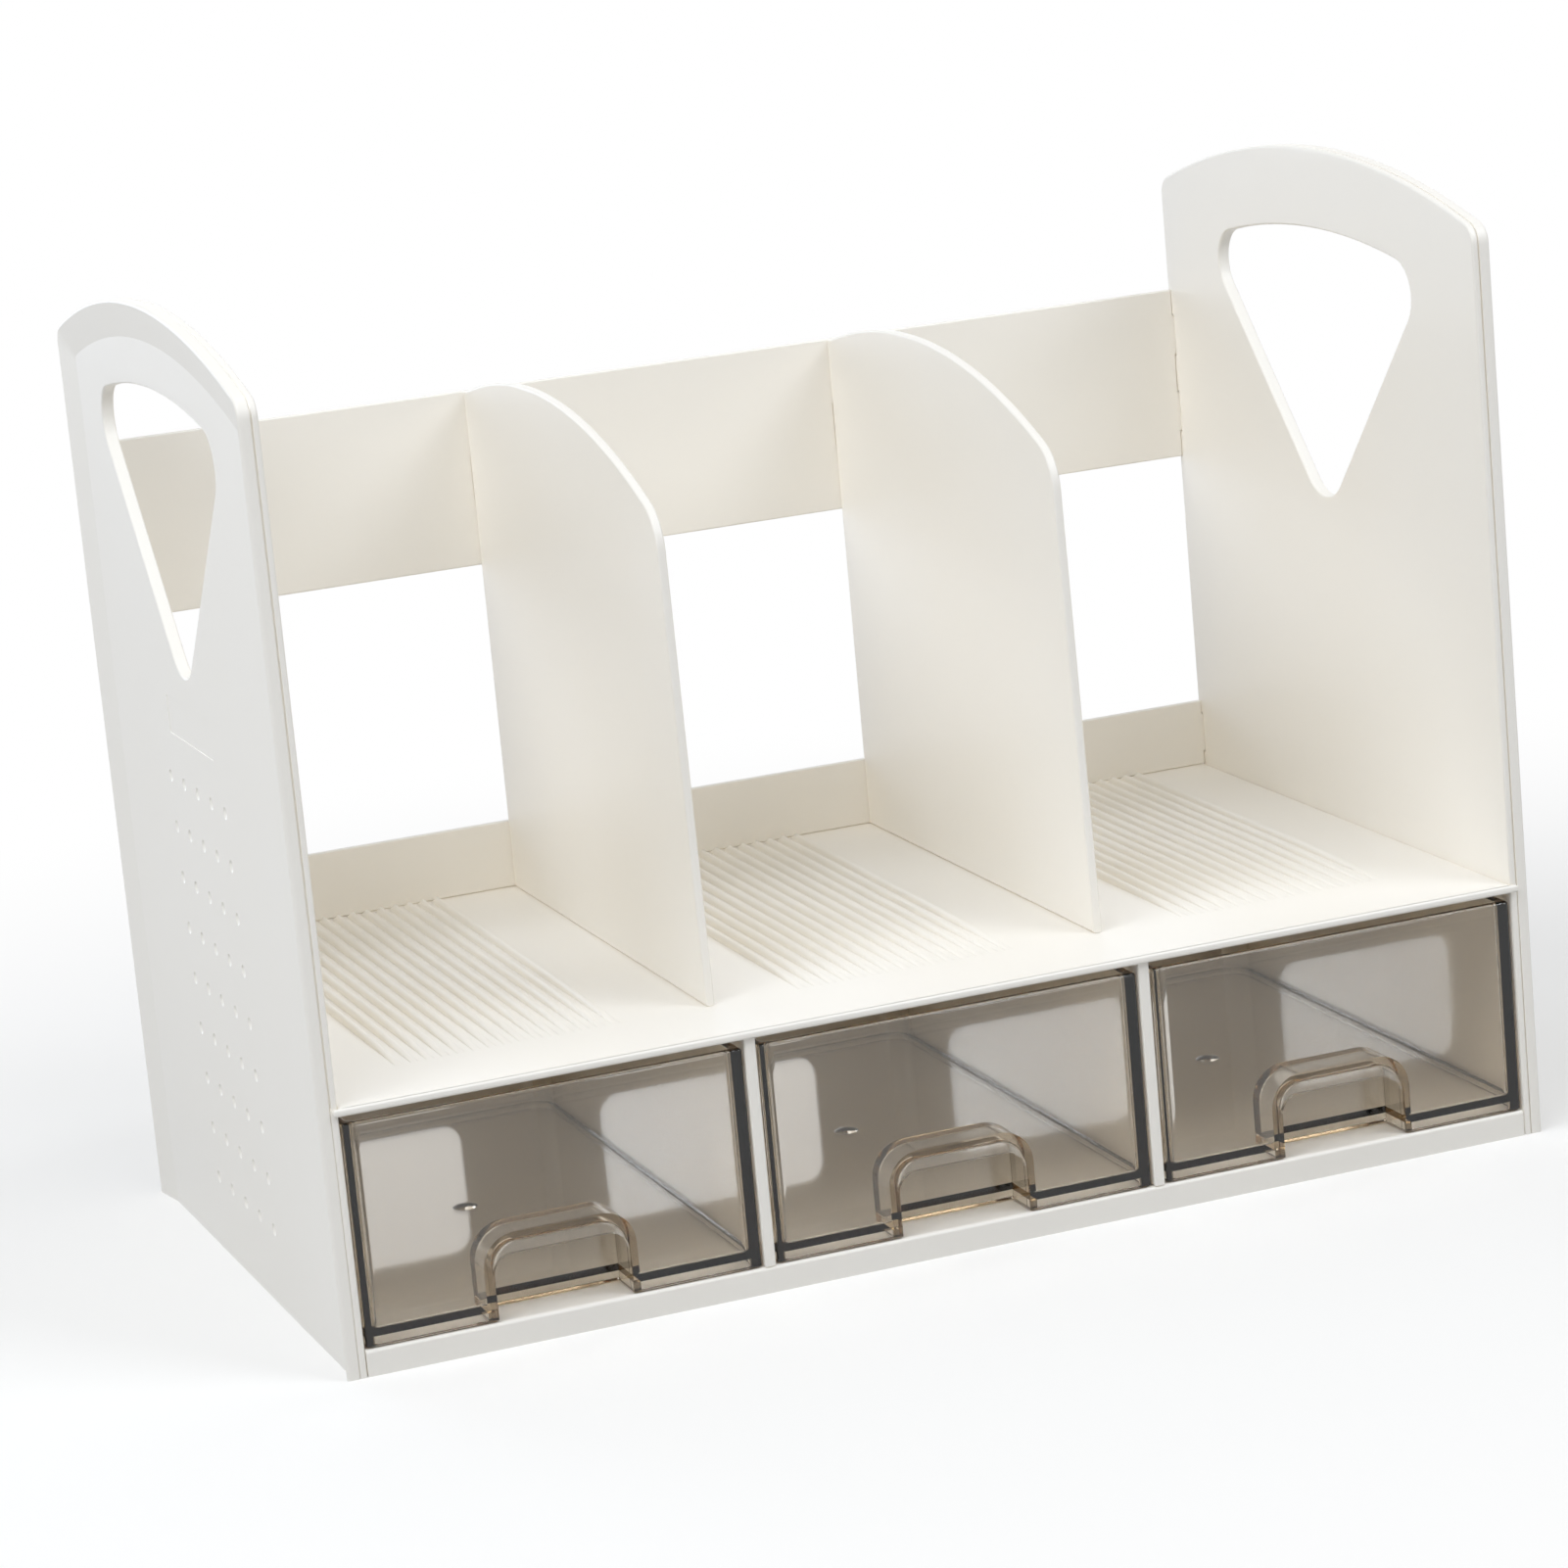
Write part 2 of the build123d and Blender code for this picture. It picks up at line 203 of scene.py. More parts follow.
def start_tree(name: str, sizes: dict[str, str]) -> tuple[GeometryNodeTree, NodeOutputs]:
    """Starts a geometry tree with named inputs.

    Args:
        name: Name of the tree.
        sizes: Kind of each size's socket by the input's name.

    Returns:
        The tree and the outputs of its input node.
    """
    tree = bpy.data.node_groups.new(name, "GeometryNodeTree")
    sockets = {"Geometry": "Geometry", **sizes, "Material": "Material"}
    for title, kind in sockets.items():
        tree.interface.new_socket(title, in_out="INPUT", socket_type=f"NodeSocket{kind}")
    tree.interface.new_socket("Geometry", in_out="OUTPUT", socket_type="NodeSocketGeometry")
    return tree, add_node(tree, "NodeGroupInput").outputs


def end_tree(tree: GeometryNodeTree, made: Node, material: NodeSocket) -> None:
    """Ends a geometry tree: its instances become real and take the material.

    Args:
        tree: The tree.
        made: Last node of the shape.
        material: Output that gives the material.
    """
    whole = add_node(tree, "GeometryNodeRealizeInstances", inputs={"Geometry": made})
    dressing = {"Geometry": whole, "Material": material}
    dressed = add_node(tree, "GeometryNodeSetMaterial", inputs=dressing)
    add_node(tree, "NodeGroupOutput", inputs={"Geometry": dressed})


def run_tree(piece: Object, tree: GeometryNodeTree, values: dict[str, Any]) -> None:
    """Runs a geometry tree on an object and keeps the plain mesh that it makes.

    Args:
        piece: Object whose mesh the tree changes or makes.
        tree: The tree.
        values: Input values by socket name.
    """
    change = piece.modifiers.new(tree.name, "NODES")
    change.node_group = tree
    for item in tree.interface.items_tree:
        if item.item_type == "SOCKET" and item.in_out == "INPUT" and item.name in values:
            change[item.identifier] = values[item.name]
    bake_modifiers(piece)


def arc(centre: Point, radius: float, start: float, end: float, steps: int) -> Loop:
    """Points along an arc between two angles in radians, both ends included."""
    angles = [start + (end - start) * step / steps for step in range(steps + 1)]
    return [(centre[0] + radius * math.cos(a), centre[1] + radius * math.sin(a)) for a in angles]


def rounded_polygon(corners: Sequence[Triple], steps: int = CORNER_STEPS) -> Loop:
    """A closed outline of straight edges with rounded corners.

    Args:
        corners: First coordinate, second coordinate and radius of each corner in order.
        steps: Number of stretches on each rounded corner.

    Returns:
        The outline's points.
    """
    loop: Loop = []
    for index, (u, v, radius) in enumerate(corners):
        if radius <= 0:
            loop.append((u, v))
            continue
        here = Vector((u, v))
        before = (Vector(corners[index - 1][:2]) - here).normalized()
        after = (Vector(corners[(index + 1) % len(corners)][:2]) - here).normalized()
        half = before.angle(after) / 2
        centre = here + (before + after).normalized() * radius / math.sin(half)
        first = here + before * radius / math.tan(half) - centre
        last = here + after * radius / math.tan(half) - centre
        start = math.atan2(first.y, first.x)
        turn = math.remainder(math.atan2(last.y, last.x) - start, math.tau)
        loop += arc((centre.x, centre.y), radius, start, start + turn, steps)
    return loop


def rectangle(
    u_low: float, u_high: float, v_low: float, v_high: float, radius: float = 0.0
) -> Loop:
    """A rectangle, with rounded corners where a radius is given."""
    places = ((u_low, v_low), (u_high, v_low), (u_high, v_high), (u_low, v_high))
    return rounded_polygon([(u, v, radius) for u, v in places])


def round_corner(
    start: Vector, end: Vector, turn: int, radius: float, centre: Vector, bound: float
) -> tuple[Point, float]:
    """The round corner between a straight edge and the inside of a circle.

    Args:
        start: Where the edge starts, inside the circle.
        end: Where the edge meets the circle.
        turn: 1 if the corner lies to the left of the edge, -1 if it lies to the right.
        radius: Radius of the corner.
        centre: Middle of the circle.
        bound: Radius of the circle.

    Returns:
        The corner's middle and its angle where it leaves the edge.
    """
    edge = (end - start).normalized()
    inward = Vector((-edge.y, edge.x)) * turn
    low, high = 0.0, (end - start).length
    for _ in range(BISECTIONS):
        along = (low + high) / 2
        hub = start + edge * along + inward * radius
        inside = (hub - centre).length < bound - radius
        low, high = (along, high) if inside else (low, along)
    return (hub.x, hub.y), math.atan2(-inward.y, -inward.x)


def circle_through(first: Vector, second: Vector, third: Vector) -> tuple[Vector, float]:
    """The circle through three points.

    Args:
        first: One point.
        second: Another point.
        third: The last point.

    Returns:
        Its centre and radius.
    """
    along, across = second - first, third - first
    twice = 2 * (along.x * across.y - along.y * across.x)
    u = (across.y * along.length_squared - along.y * across.length_squared) / twice
    v = (along.x * across.length_squared - across.x * along.length_squared) / twice
    centre = first + Vector((u, v))
    return centre, (first - centre).length


def grown(loop: Loop, distance: float) -> Loop:
    """A closed outline moved outwards, or inwards for a negative distance.

    Args:
        loop: The outline.
        distance: How far its edges move.

    Returns:
        The moved outline, point for point.
    """
    count = len(loop)
    area = sum(loop[i - 1][0] * loop[i][1] - loop[i][0] * loop[i - 1][1] for i in range(count))
    sign = 1.0 if area > 0 else -1.0
    moved: Loop = []
    for index, here in enumerate(loop):
        before = Vector(here) - Vector(loop[index - 1])
        after = Vector(loop[(index + 1) % count]) - Vector(here)
        normals = [Vector((edge.y, -edge.x)).normalized() * sign for edge in (before, after)]
        mean = (normals[0] + normals[1]).normalized()
        reach = distance / max(mean.dot(normals[0]), MITRE_LIMIT)
        moved.append((here[0] + mean.x * reach, here[1] + mean.y * reach))
    return moved


def edge_round(radius: float, steps: int, face: float, inward: int) -> list[Point]:
    """How far in from the wall, and where along the thickness, each step of a round edge lies."""
    angles = [math.pi / 2 * step / steps for step in range(steps + 1)]
    return [
        (radius * (1 - math.sin(a)), face + inward * radius * (1 - math.cos(a))) for a in angles
    ]


def stacked(loop: Loop, profile: Sequence[Point], sign: int) -> list[Level]:
    """An outline moved out (sign 1) or in (sign -1) by each step of a profile, and its place."""
    return [(grown(loop, sign * inset), place) for inset, place in profile]


class Builder:
    """Collects the faces of one mesh in millimetres."""

    def __init__(self) -> None:
        """Starts an empty mesh."""
        self.mesh = bmesh.new()

    def loft(self, levels: Sequence[Level], facing: Facing, closed: bool = True) -> list[Ring]:
        """Adds an outline at each level and joins each to the next with four-sided faces.

        Args:
            levels: The outlines, of as many points, and their places along the thickness.
            facing: Plane of the outlines.
            closed: Whether the outlines end where they start.

        Returns:
            The vertices of each outline.
        """
        rings = [
            [self.mesh.verts.new(facing.place(u, v, w)) for u, v in loop] for loop, w in levels
        ]
        count = len(rings[0])
        for low, high in zip(rings[:-1], rings[1:]):
            for here in range(count if closed else count - 1):
                after = (here + 1) % count
                self.mesh.faces.new((low[here], low[after], high[after], high[here]))
        return rings

    def cap(self, rings: Sequence[Ring]) -> None:
        """Fills a flat outline and leaves its holes open.

        Args:
            rings: Vertices of the outline, then of each hole.
        """
        vertices = [vertex for ring in rings for vertex in ring]
        for corners in tessellate_polygon([[vertex.co for vertex in ring] for ring in rings]):
            self.mesh.faces.new([vertices[corner] for corner in corners])

    def crease(self, ring: Ring) -> None:
        """Keeps the edges along an outline sharp."""
        for one, other in zip(ring[:-1], ring[1:]):
            self.mesh.edges.get((one, other)).smooth = False

    def solid(self, levels: Sequence[Level], facing: Facing) -> "Builder":
        """Adds a closed body through all levels.

        Args:
            levels: The outlines and their places along the thickness.
            facing: Plane of the outlines.

        Returns:
            The builder itself.
        """
        rings = self.loft(levels, facing)
        self.cap([rings[0]])
        self.cap([rings[-1]])
        return self

    def plate(
        self,
        outline: Loop,
        low: float,
        high: float,
        facing: Facing,
        radius: float,
        steps: int = EDGE_STEPS,
        holes: Sequence[Loop] = (),
    ) -> "Builder":
        """Adds a plate of even thickness with rounded edges.

        Args:
            outline: Outer outline.
            low: Least place along the thickness.
            high: Greatest place along the thickness.
            facing: Plane of the outline.
            radius: Radius of all edges.
            steps: Stretches on each rounded edge.
            holes: Outlines of openings through the plate.

        Returns:
            The builder itself.
        """
        profile = edge_round(radius, steps, low, 1) + edge_round(radius, steps, high, -1)[::-1]
        ends = []
        for loop, sign in [(outline, -1)] + [(hole, 1) for hole in holes]:
            rings = self.loft(stacked(loop, profile, sign), facing)
            ends.append((rings[0], rings[-1]))
        for rings in zip(*ends):
            self.cap(rings)
        return self

    def to_object(self, name: str, smooth_angle: float = SMOOTH_ANGLE) -> Object:
        """Turns the collected faces into a finished object in metres.

        Args:
            name: Name of the object.
            smooth_angle: Edges that turn more than this many degrees stay sharp.

        Returns:
            The object, at the origin.
        """
        bmesh.ops.remove_doubles(self.mesh, verts=self.mesh.verts, dist=WELD)
        bmesh.ops.recalc_face_normals(self.mesh, faces=self.mesh.faces)
        bmesh.ops.scale(self.mesh, vec=(MM, MM, MM), verts=self.mesh.verts)
        data = bpy.data.meshes.new(name)
        self.mesh.to_mesh(data)
        self.mesh.free()
        piece = link_object(name, data)
        shade(piece, smooth_angle)
        return piece


def link_object(name: str, data: bpy.types.ID) -> Object:
    """Puts a new object into the scene.

    Args:
        name: Name of the object.
        data: Its mesh, lamp or camera.

    Returns:
        The object.
    """
    made = bpy.data.objects.new(name, data)
    bpy.context.scene.collection.objects.link(made)
    return made


def shade(piece: Object, smooth_angle: float = SMOOTH_ANGLE) -> None:
    """Shades a mesh smoothly, with the large flat faces kept flat.

    Args:
        piece: Object to shade.
        smooth_angle: Edges that turn more than this many degrees stay sharp.
    """
    mesh = bmesh.new()
    mesh.from_mesh(piece.data)
    for edge in mesh.edges:
        edge.smooth = edge.smooth and edge.calc_face_angle(0.0) < math.radians(smooth_angle)
    for face in mesh.faces:
        face.smooth = True
    mesh.to_mesh(piece.data)
    mesh.free()
    piece.modifiers.new("flat_faces", "WEIGHTED_NORMAL").keep_sharp = True
    bake_modifiers(piece)


def bake_modifiers(piece: Object) -> None:
    """Replaces an object's mesh by what its modifiers make of it, and removes them.

    Args:
        piece: The object.
    """
    bpy.context.view_layer.update()
    depsgraph = bpy.context.evaluated_depsgraph_get()
    baked = bpy.data.meshes.new_from_object(piece.evaluated_get(depsgraph), depsgraph=depsgraph)
    old = piece.data
    piece.modifiers.clear()
    piece.data = baked
    bpy.data.meshes.remove(old)
    baked.name = piece.name


def combine(piece: Object, tool: Object, change: Change) -> None:
    """Joins a tool to a piece or cuts it away, then removes the tool.

    Args:
        piece: Object that is changed.
        tool: Closed mesh that is joined or cut.
        change: What the tool does.
    """
    boolean = piece.modifiers.new(tool.name, "BOOLEAN")
    boolean.operation = change.value
    boolean.solver = "EXACT"
    boolean.object = tool
    bake_modifiers(piece)
    bpy.data.objects.remove(tool)


def fit_piece(
    piece: Object,
    material: Material,
    nodes: Sequence[str] = (),
    body: str = HOUSING,
) -> None:
    """Dresses a finished piece and sets it on its body.

    Args:
        piece: The finished object.
        material: Its material.
        nodes: CAD nodes that it stands for.
        body: Name of the body it moves with.
    """
    piece.data.materials.clear()
    piece.data.materials.append(material)
    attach(piece, body)
    if nodes:
        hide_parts(*nodes)
    LOG.info("%s: %d faces on %s", piece.name, len(piece.data.polygons), body)


@dataclass(frozen=True)
class MouldedPolystyrene:
    """What both plastics share: gloss and relief that follow one noise over the moulded face."""

    name: str
    roughness: float
    roughness_spread: float
    pattern: float
    pattern_detail: float
    pattern_roughness: float
    relief: float
    ior: float = 1.59

    def face(self, tree: NodeTree, inputs: dict[str, Any]) -> Node:
        """Adds the shader of the moulded face.

        Args:
            tree: Tree that takes the nodes.
            inputs: Inputs of the shader that make the colour.

        Returns:
            The shader's node.
        """
        noise = add_node(
            tree,
            "ShaderNodeTexNoise",
            inputs={
                "Vector": add_node(tree, "ShaderNodeTexCoord").outputs["Object"],
                "Scale": 1 / (self.pattern * MM),
                "Detail": self.pattern_detail,
                "Roughness": self.pattern_roughness,
            },
        )
        gloss = add_node(
            tree,
            "ShaderNodeMapRange",
            inputs={
                "Value": noise,
                "To Min": self.roughness - self.roughness_spread,
                "To Max": self.roughness + self.roughness_spread,
            },
        )
        height = {"Height": noise, "Distance": self.relief * MM, "Strength": 1.0}
        bump = add_node(tree, "ShaderNodeBump", inputs=height)
        surface = {"Roughness": gloss, "Normal": bump, "IOR": self.ior}
        return add_node(tree, "ShaderNodeBsdfPrincipled", inputs={**surface, **inputs})


@dataclass(frozen=True)
class IvoryPolystyrene(MouldedPolystyrene):
    """Injection-moulded ivory polystyrene from a lightly spark-eroded mould.

    The eye sees a warm white with a satin sheen, a very fine even grain and a faint change of tone
    over a hand's breadth. The grain is drawn a little coarser than the real one so that it shows.
    """

    name: str = "moulded_ivory_polystyrene"
    roughness: float = 0.42
    roughness_spread: float = 0.08
    pattern: float = 0.55
    pattern_detail: float = 3.0
    pattern_roughness: float = 0.6
    relief: float = 0.012
    colour: str = "#F6F2EA"
    shade_colour: str = "#F4EFE5"
    drift: float = 70.0
    drift_detail: float = 2.0

    def material(self) -> Material:
        """Builds the node material.

        Returns:
            The material.
        """
        made = bpy.data.materials.new(self.name)
        tree = empty_tree(made)
        drift = add_node(
            tree,
            "ShaderNodeTexNoise",
            inputs={
                "Vector": add_node(tree, "ShaderNodeTexCoord").outputs["Object"],
                "Scale": 1 / (self.drift * MM),
                "Detail": self.drift_detail,
            },
        )
        tones = {0: drift, "A": linear(self.colour), "B": linear(self.shade_colour)}
        tone = add_node(tree, "ShaderNodeMix", {"data_type": "RGBA"}, tones)
        plastic = self.face(tree, {"Base Color": tone})
        add_node(tree, "ShaderNodeOutputMaterial", inputs={"Surface": plastic})
        return made


@dataclass(frozen=True)
class SmokePolystyrene(MouldedPolystyrene):
    """Injection-moulded clear polystyrene with a smoke tint and polished faces.

    Seen through one wall it is a light brown-grey, and seen along a wall it is dark. The faces are
    glossy, with a very slow waviness from the flow of the melt.
    """

    name: str = "moulded_smoke_polystyrene"
    roughness: float = 0.03
    roughness_spread: float = 0.015
    pattern: float = 38.0
    pattern_detail: float = 1.0
    pattern_roughness: float = 0.5
    relief: float = 0.02
    tint: str = "#E7D9BE"
    tint_depth: float = 10.0

    def material(self) -> Material:
        """Builds the node material.

        Returns:
            The material.
        """
        made = bpy.data.materials.new(self.name)
        tree = empty_tree(made)
        clear = self.face(tree, {"Base Color": WHITE, "Transmission Weight": 1.0})
        tint = {"Color": linear(self.tint), "Density": 1 / (self.tint_depth * MM)}
        smoke = add_node(tree, "ShaderNodeVolumeAbsorption", inputs=tint)
        add_node(tree, "ShaderNodeOutputMaterial", inputs={"Surface": clear, "Volume": smoke})
        return made


@dataclass
class SunkDots:
    """A field of small scoops cut into a side panel by a node tree.

    Tilted ellipsoids cut them. Each scoop runs out gently at its foot, where it catches the light
    from above.
    """

    columns: int = 5
    rows: int = 9
    pitch: float = 14.5
    half_width: float = 2.2
    half_height: float = 2.6
    half_depth: float = 1.3
    tilt: float = 25.0
    outward: float = 0.88
    downward: float = 0.7
    centre_z: float = 80.2
    segments: int = 24

    def tree(self) -> GeometryNodeTree:
        """Builds the tree that cuts a grid of tilted ellipsoids from the geometry it is given.

        Returns:
            The tree, with its sizes as named inputs.
        """
        sizes = {name: "Int" for name in ("Columns", "Rows")}
        sizes |= {name: "Float" for name in ("Width", "Height")}
        sizes |= {name: "Vector" for name in ("Size", "Tilt", "Centre")}
        tree, given = start_tree("sunk_dots", sizes)
        grid = add_node(
            tree,
            "GeometryNodeMeshGrid",
            inputs={
                "Size X": given["Width"],
                "Size Y": given["Height"],
                "Vertices X": given["Columns"],
                "Vertices Y": given["Rows"],
            },
        )
        ball = {"Segments": self.segments, "Rings": self.segments, "Radius": 1.0}
        spread = add_node(
            tree,
            "GeometryNodeInstanceOnPoints",
            inputs={
                "Points": grid,
                "Instance": add_node(tree, "GeometryNodeMeshUVSphere", inputs=ball),
                "Rotation": given["Tilt"],
                "Scale": given["Size"],
            },
        )
        turned = add_node(
            tree,
            "GeometryNodeTransform",
            inputs={
                "Geometry": spread,
                "Translation": given["Centre"],
                "Rotation": (math.pi / 2, 0.0, math.pi / 2),
            },
        )
        cutters = add_node(tree, "GeometryNodeRealizeInstances", inputs={"Geometry": turned})
        cut = add_node(
            tree,
            "GeometryNodeMeshBoolean",
            {"operation": "DIFFERENCE", "solver": "EXACT"},
            {"Mesh 1": given["Geometry"], "Mesh 2": cutters},
        )
        end_tree(tree, cut, given["Material"])
        return tree

    def values(self, field_x: float, out: int, middle_y: float) -> dict[str, Any]:
        """The tree's sizes for one panel.

        Args:
            field_x: Place of the panel's sunk field in millimetres.
            out: Sign of the outward direction.
            middle_y: Middle of the panel's depth in millimetres.

        Returns:
            The values by input name.
        """
        centre = Vector((field_x + out * self.outward, middle_y, self.centre_z - self.downward))
        return {
            "Columns": self.columns,
            "Rows": self.rows,
            "Width": (self.columns - 1) * self.pitch * MM,
            "Height": (self.rows - 1) * self.pitch * MM,
            "Size": Vector((self.half_width, self.half_height, self.half_depth)) * MM,
            "Tilt": (-out * math.radians(self.tilt), 0.0, 0.0),
            "Centre": centre * MM,
        }


@dataclass
class SidePanel:
    """One carrying side: an outer shell with a sunk field and a flat liner inside it."""

    side: Side
    material: Material
    notches: Sequence[float]
    arc_rise: float = 16.0
    arc_steps: int = 48
    corner_radius: float = 6.0
    corner_steps: int = 8
    rim_height: float = 1.9
    rim_round: float = 0.9
    rim_steps: int = 4
    front_bevel: float = 1.6
    back_bevel: float = 13.0
    top_bevel: float = 10.2
    field_radius: float = 2.0
    seam_round: float = 0.15
    groove_width: float = 0.5
    groove_depth: float = 0.6
    groove_round: float = 0.1
    hole_margin: float = 23.0
    hole_half_width: float = 70.0
    hole_tip_z: float = 164.0
    hole_radius: float = 10.0
    hole_tip_radius: float = 13.0
    hole_round: float = 0.6
    hole_corner_steps: int = 10
    hole_crown_steps: int = 28
    hole_tip_steps: int = 12
    liner_round: float = 0.7
    label_length: float = 47.0
    label_height: float = 10.7
    label_z: float = 156.7
    label_depth: float = 0.2
    label_radius: float = 0.6
    notch_height: float = 12.2
    notch_depth: float = 2.3
    smooth_angle: float = 28.0
    dots: SunkDots = field(default_factory=SunkDots)

    def __post_init__(self) -> None:
        """Reads the panel's place from the frame and works out its faces and top arc."""
        shell = Block.of_node(f"{self.side.label}_outer_panel")
        self.liner = Block.of_node(f"{self.side.label}_inner_panel")
        self.out = self.side.value
        self.foot = shell.low.z
        self.outer = max(shell.low.x, shell.high.x, key=abs)
        self.field_x = self.outer - self.out * self.rim_height
        self.inner, self.seam = sorted((self.liner.low.x, self.liner.high.x), key=abs)
        self.front, self.back = self.liner.low.y, self.liner.high.y
        self.middle = (self.front + self.back) / 2
        half_chord = (self.back - self.front) / 2
        self.arc_radius = (half_chord**2 + self.arc_rise**2) / (2 * self.arc_rise)
        self.arc_z = self.liner.high.z - self.arc_radius

    def path(self, front_inset: float, back_inset: float, drop: float, radius: float) -> Loop:
        """The panel's outline from its front foot over the top to its back foot.

        Args:
            front_inset: How far the front edge is moved in.
            back_inset: How far the back edge is moved in.
            drop: How far the top arc is moved down.
            radius: Radius of the two top corners.

        Returns:
            The outline's points, always as many.
        """
        top = self.arc_radius - drop
        front, back = self.front + front_inset, self.back - back_inset
        spots = []
        for y in (front + radius, back - radius):
            z = self.arc_z + math.sqrt((top - radius) ** 2 - (y - self.middle) ** 2)
            spots.append(((y, z), math.atan2(z - self.arc_z, y - self.middle)))
        (front_hub, front_angle), (back_hub, back_angle) = spots
        crown = arc((self.middle, self.arc_z), top, front_angle, back_angle, self.arc_steps)
        loop = [(front, self.foot)]
        loop += arc(front_hub, radius, math.pi, front_angle, self.corner_steps)
        loop += crown[1:-1]
        loop += arc(back_hub, radius, back_angle, 0.0, self.corner_steps)
        return loop + [(back, self.foot)]

    def hole(self) -> Loop:
        """The rounded triangle of the carrying hole.

        Returns:
            The outline's points.
        """
        top, reach = self.arc_radius - self.hole_margin, self.hole_half_width
        centre = Vector((self.middle, self.arc_z))
        tip = Vector((self.middle, self.hole_tip_z))
        corner = Vector((self.middle + reach, self.arc_z + math.sqrt(top**2 - reach**2)))
        hub, side_angle = round_corner(tip, corner, 1, self.hole_radius, centre, top)
        top_angle = math.atan2(hub[1] - self.arc_z, hub[0] - self.middle)
        right = arc(hub, self.hole_radius, side_angle, top_angle, self.hole_corner_steps)
        left = [(2 * self.middle - y, z) for y, z in reversed(right)]
        span = (top_angle, math.pi - top_angle)
        crown = arc((self.middle, self.arc_z), top, *span, self.hole_crown_steps)[1:-1]
        tip_hub = (self.middle, self.hole_tip_z - self.hole_tip_radius / math.sin(side_angle))
        span = (-math.pi - side_angle, side_angle)
        point = arc(tip_hub, self.hole_tip_radius, *span, self.hole_tip_steps)
        return right + crown + left + point

    def make_shell(self) -> Object:
        """Builds the outer shell with its sloping rim, sunk field, hole and label recess.

        Returns:
            The shell.
        """
        profile = edge_round(self.seam_round, SMALL_STEPS, self.seam, self.out)
        profile += edge_round(self.rim_round, self.rim_steps, self.outer, -self.out)[::-1]
        levels = [
            (self.path(inset, inset, inset, self.corner_radius - inset), x) for inset, x in profile
        ]
        rim = self.path(self.front_bevel, self.back_bevel, self.top_bevel, self.field_radius)
        builder = Builder()
        rings = builder.loft(levels + [(rim, self.field_x)], Facing.SIDE, closed=False)
        builder.cap([[ring[0] for ring in rings] + [ring[-1] for ring in reversed(rings)]])
        profile = [(0.0, self.seam)]
        profile += edge_round(self.hole_round, EDGE_STEPS, self.field_x, -self.out)[::-1]
        holes = builder.loft(stacked(self.hole(), profile, 1), Facing.SIDE)
        label = self.label_recess(builder)
        builder.cap([rings[0], holes[0]])
        builder.cap([rings[-1], holes[-1], label])
        builder.crease(rings[-1])
        return builder.to_object(f"{self.side.label}_side_shell", self.smooth_angle)

    def label_recess(self, builder: Builder) -> Ring:
        """Adds the walls and floor of the blank label recess.

        Args:
            builder: Mesh of the shell.

        Returns:
            Vertices of the recess's mouth.
        """
        half = self.label_length / 2
        low = self.label_z - self.label_height / 2
        ends = (self.middle - half, self.middle + half, low, low + self.label_height)
        outline = rectangle(*ends, self.label_radius)
        profile = [(0.0, self.field_x)]
        profile.append((self.label_depth / 2, self.field_x - self.out * self.label_depth))
        mouth, floor = builder.loft(stacked(outline, profile, -1), Facing.SIDE)
        builder.cap([floor])
        return mouth

    def make_liner(self) -> Object:
        """Builds the flat liner with its hole, parting groove and notches for the rails' tabs.

        Returns:
            The liner.
        """
        outline = self.path(0.0, 0.0, 0.0, self.corner_radius)
        back, deep, half = self.back, self.back - self.notch_depth, self.notch_height / 2
        for z in sorted(self.notches, reverse=True):
            low, high = z - half, z + half
            outline[-1:-1] = [(back, high), (deep, high), (deep, low), (back, low)]
        ends = (self.liner.low.x, self.liner.high.x)
        plate = Builder().plate(outline, *ends, Facing.SIDE, self.liner_round)
        liner = plate.to_object(f"{self.side.label}_side_liner")
        clear = self.out * OVERSHOOT
        profile = [(self.hole_round, self.inner - clear)]
        profile += edge_round(self.hole_round, EDGE_STEPS, self.inner, self.out)
        profile.append((0.0, self.seam + clear))
        cutter = Builder().solid(stacked(self.hole(), profile, 1), Facing.SIDE)
        combine(liner, cutter.to_object("hole"), Change.CUT)
        foot, top = Block.of_node("lower_back_rail").low.z, self.liner.high.z + OVERSHOOT
        deep = self.front + self.groove_depth
        groove = rectangle(self.front - OVERSHOOT, deep, foot, top)
        ends = sorted((self.seam + clear, self.seam - self.out * self.groove_width))
        cutter = Builder().plate(groove, *ends, Facing.SIDE, self.groove_round, SMALL_STEPS)
        combine(liner, cutter.to_object("groove"), Change.CUT)
        shade(liner)
        return liner

    def build(self, dot_tree: GeometryNodeTree) -> None:
        """Makes and dresses both layers of the side.

        Args:
            dot_tree: Node tree of the scoops.
        """
        shell = self.make_shell()
        values = self.dots.values(self.field_x, self.out, self.middle)
        run_tree(shell, dot_tree, {**values, "Material": self.material})
        shade(shell, self.smooth_angle)
        fit_piece(shell, self.material, [f"{self.side.label}_outer_panel"])
        fit_piece(self.make_liner(), self.material, [f"{self.side.label}_inner_panel"])


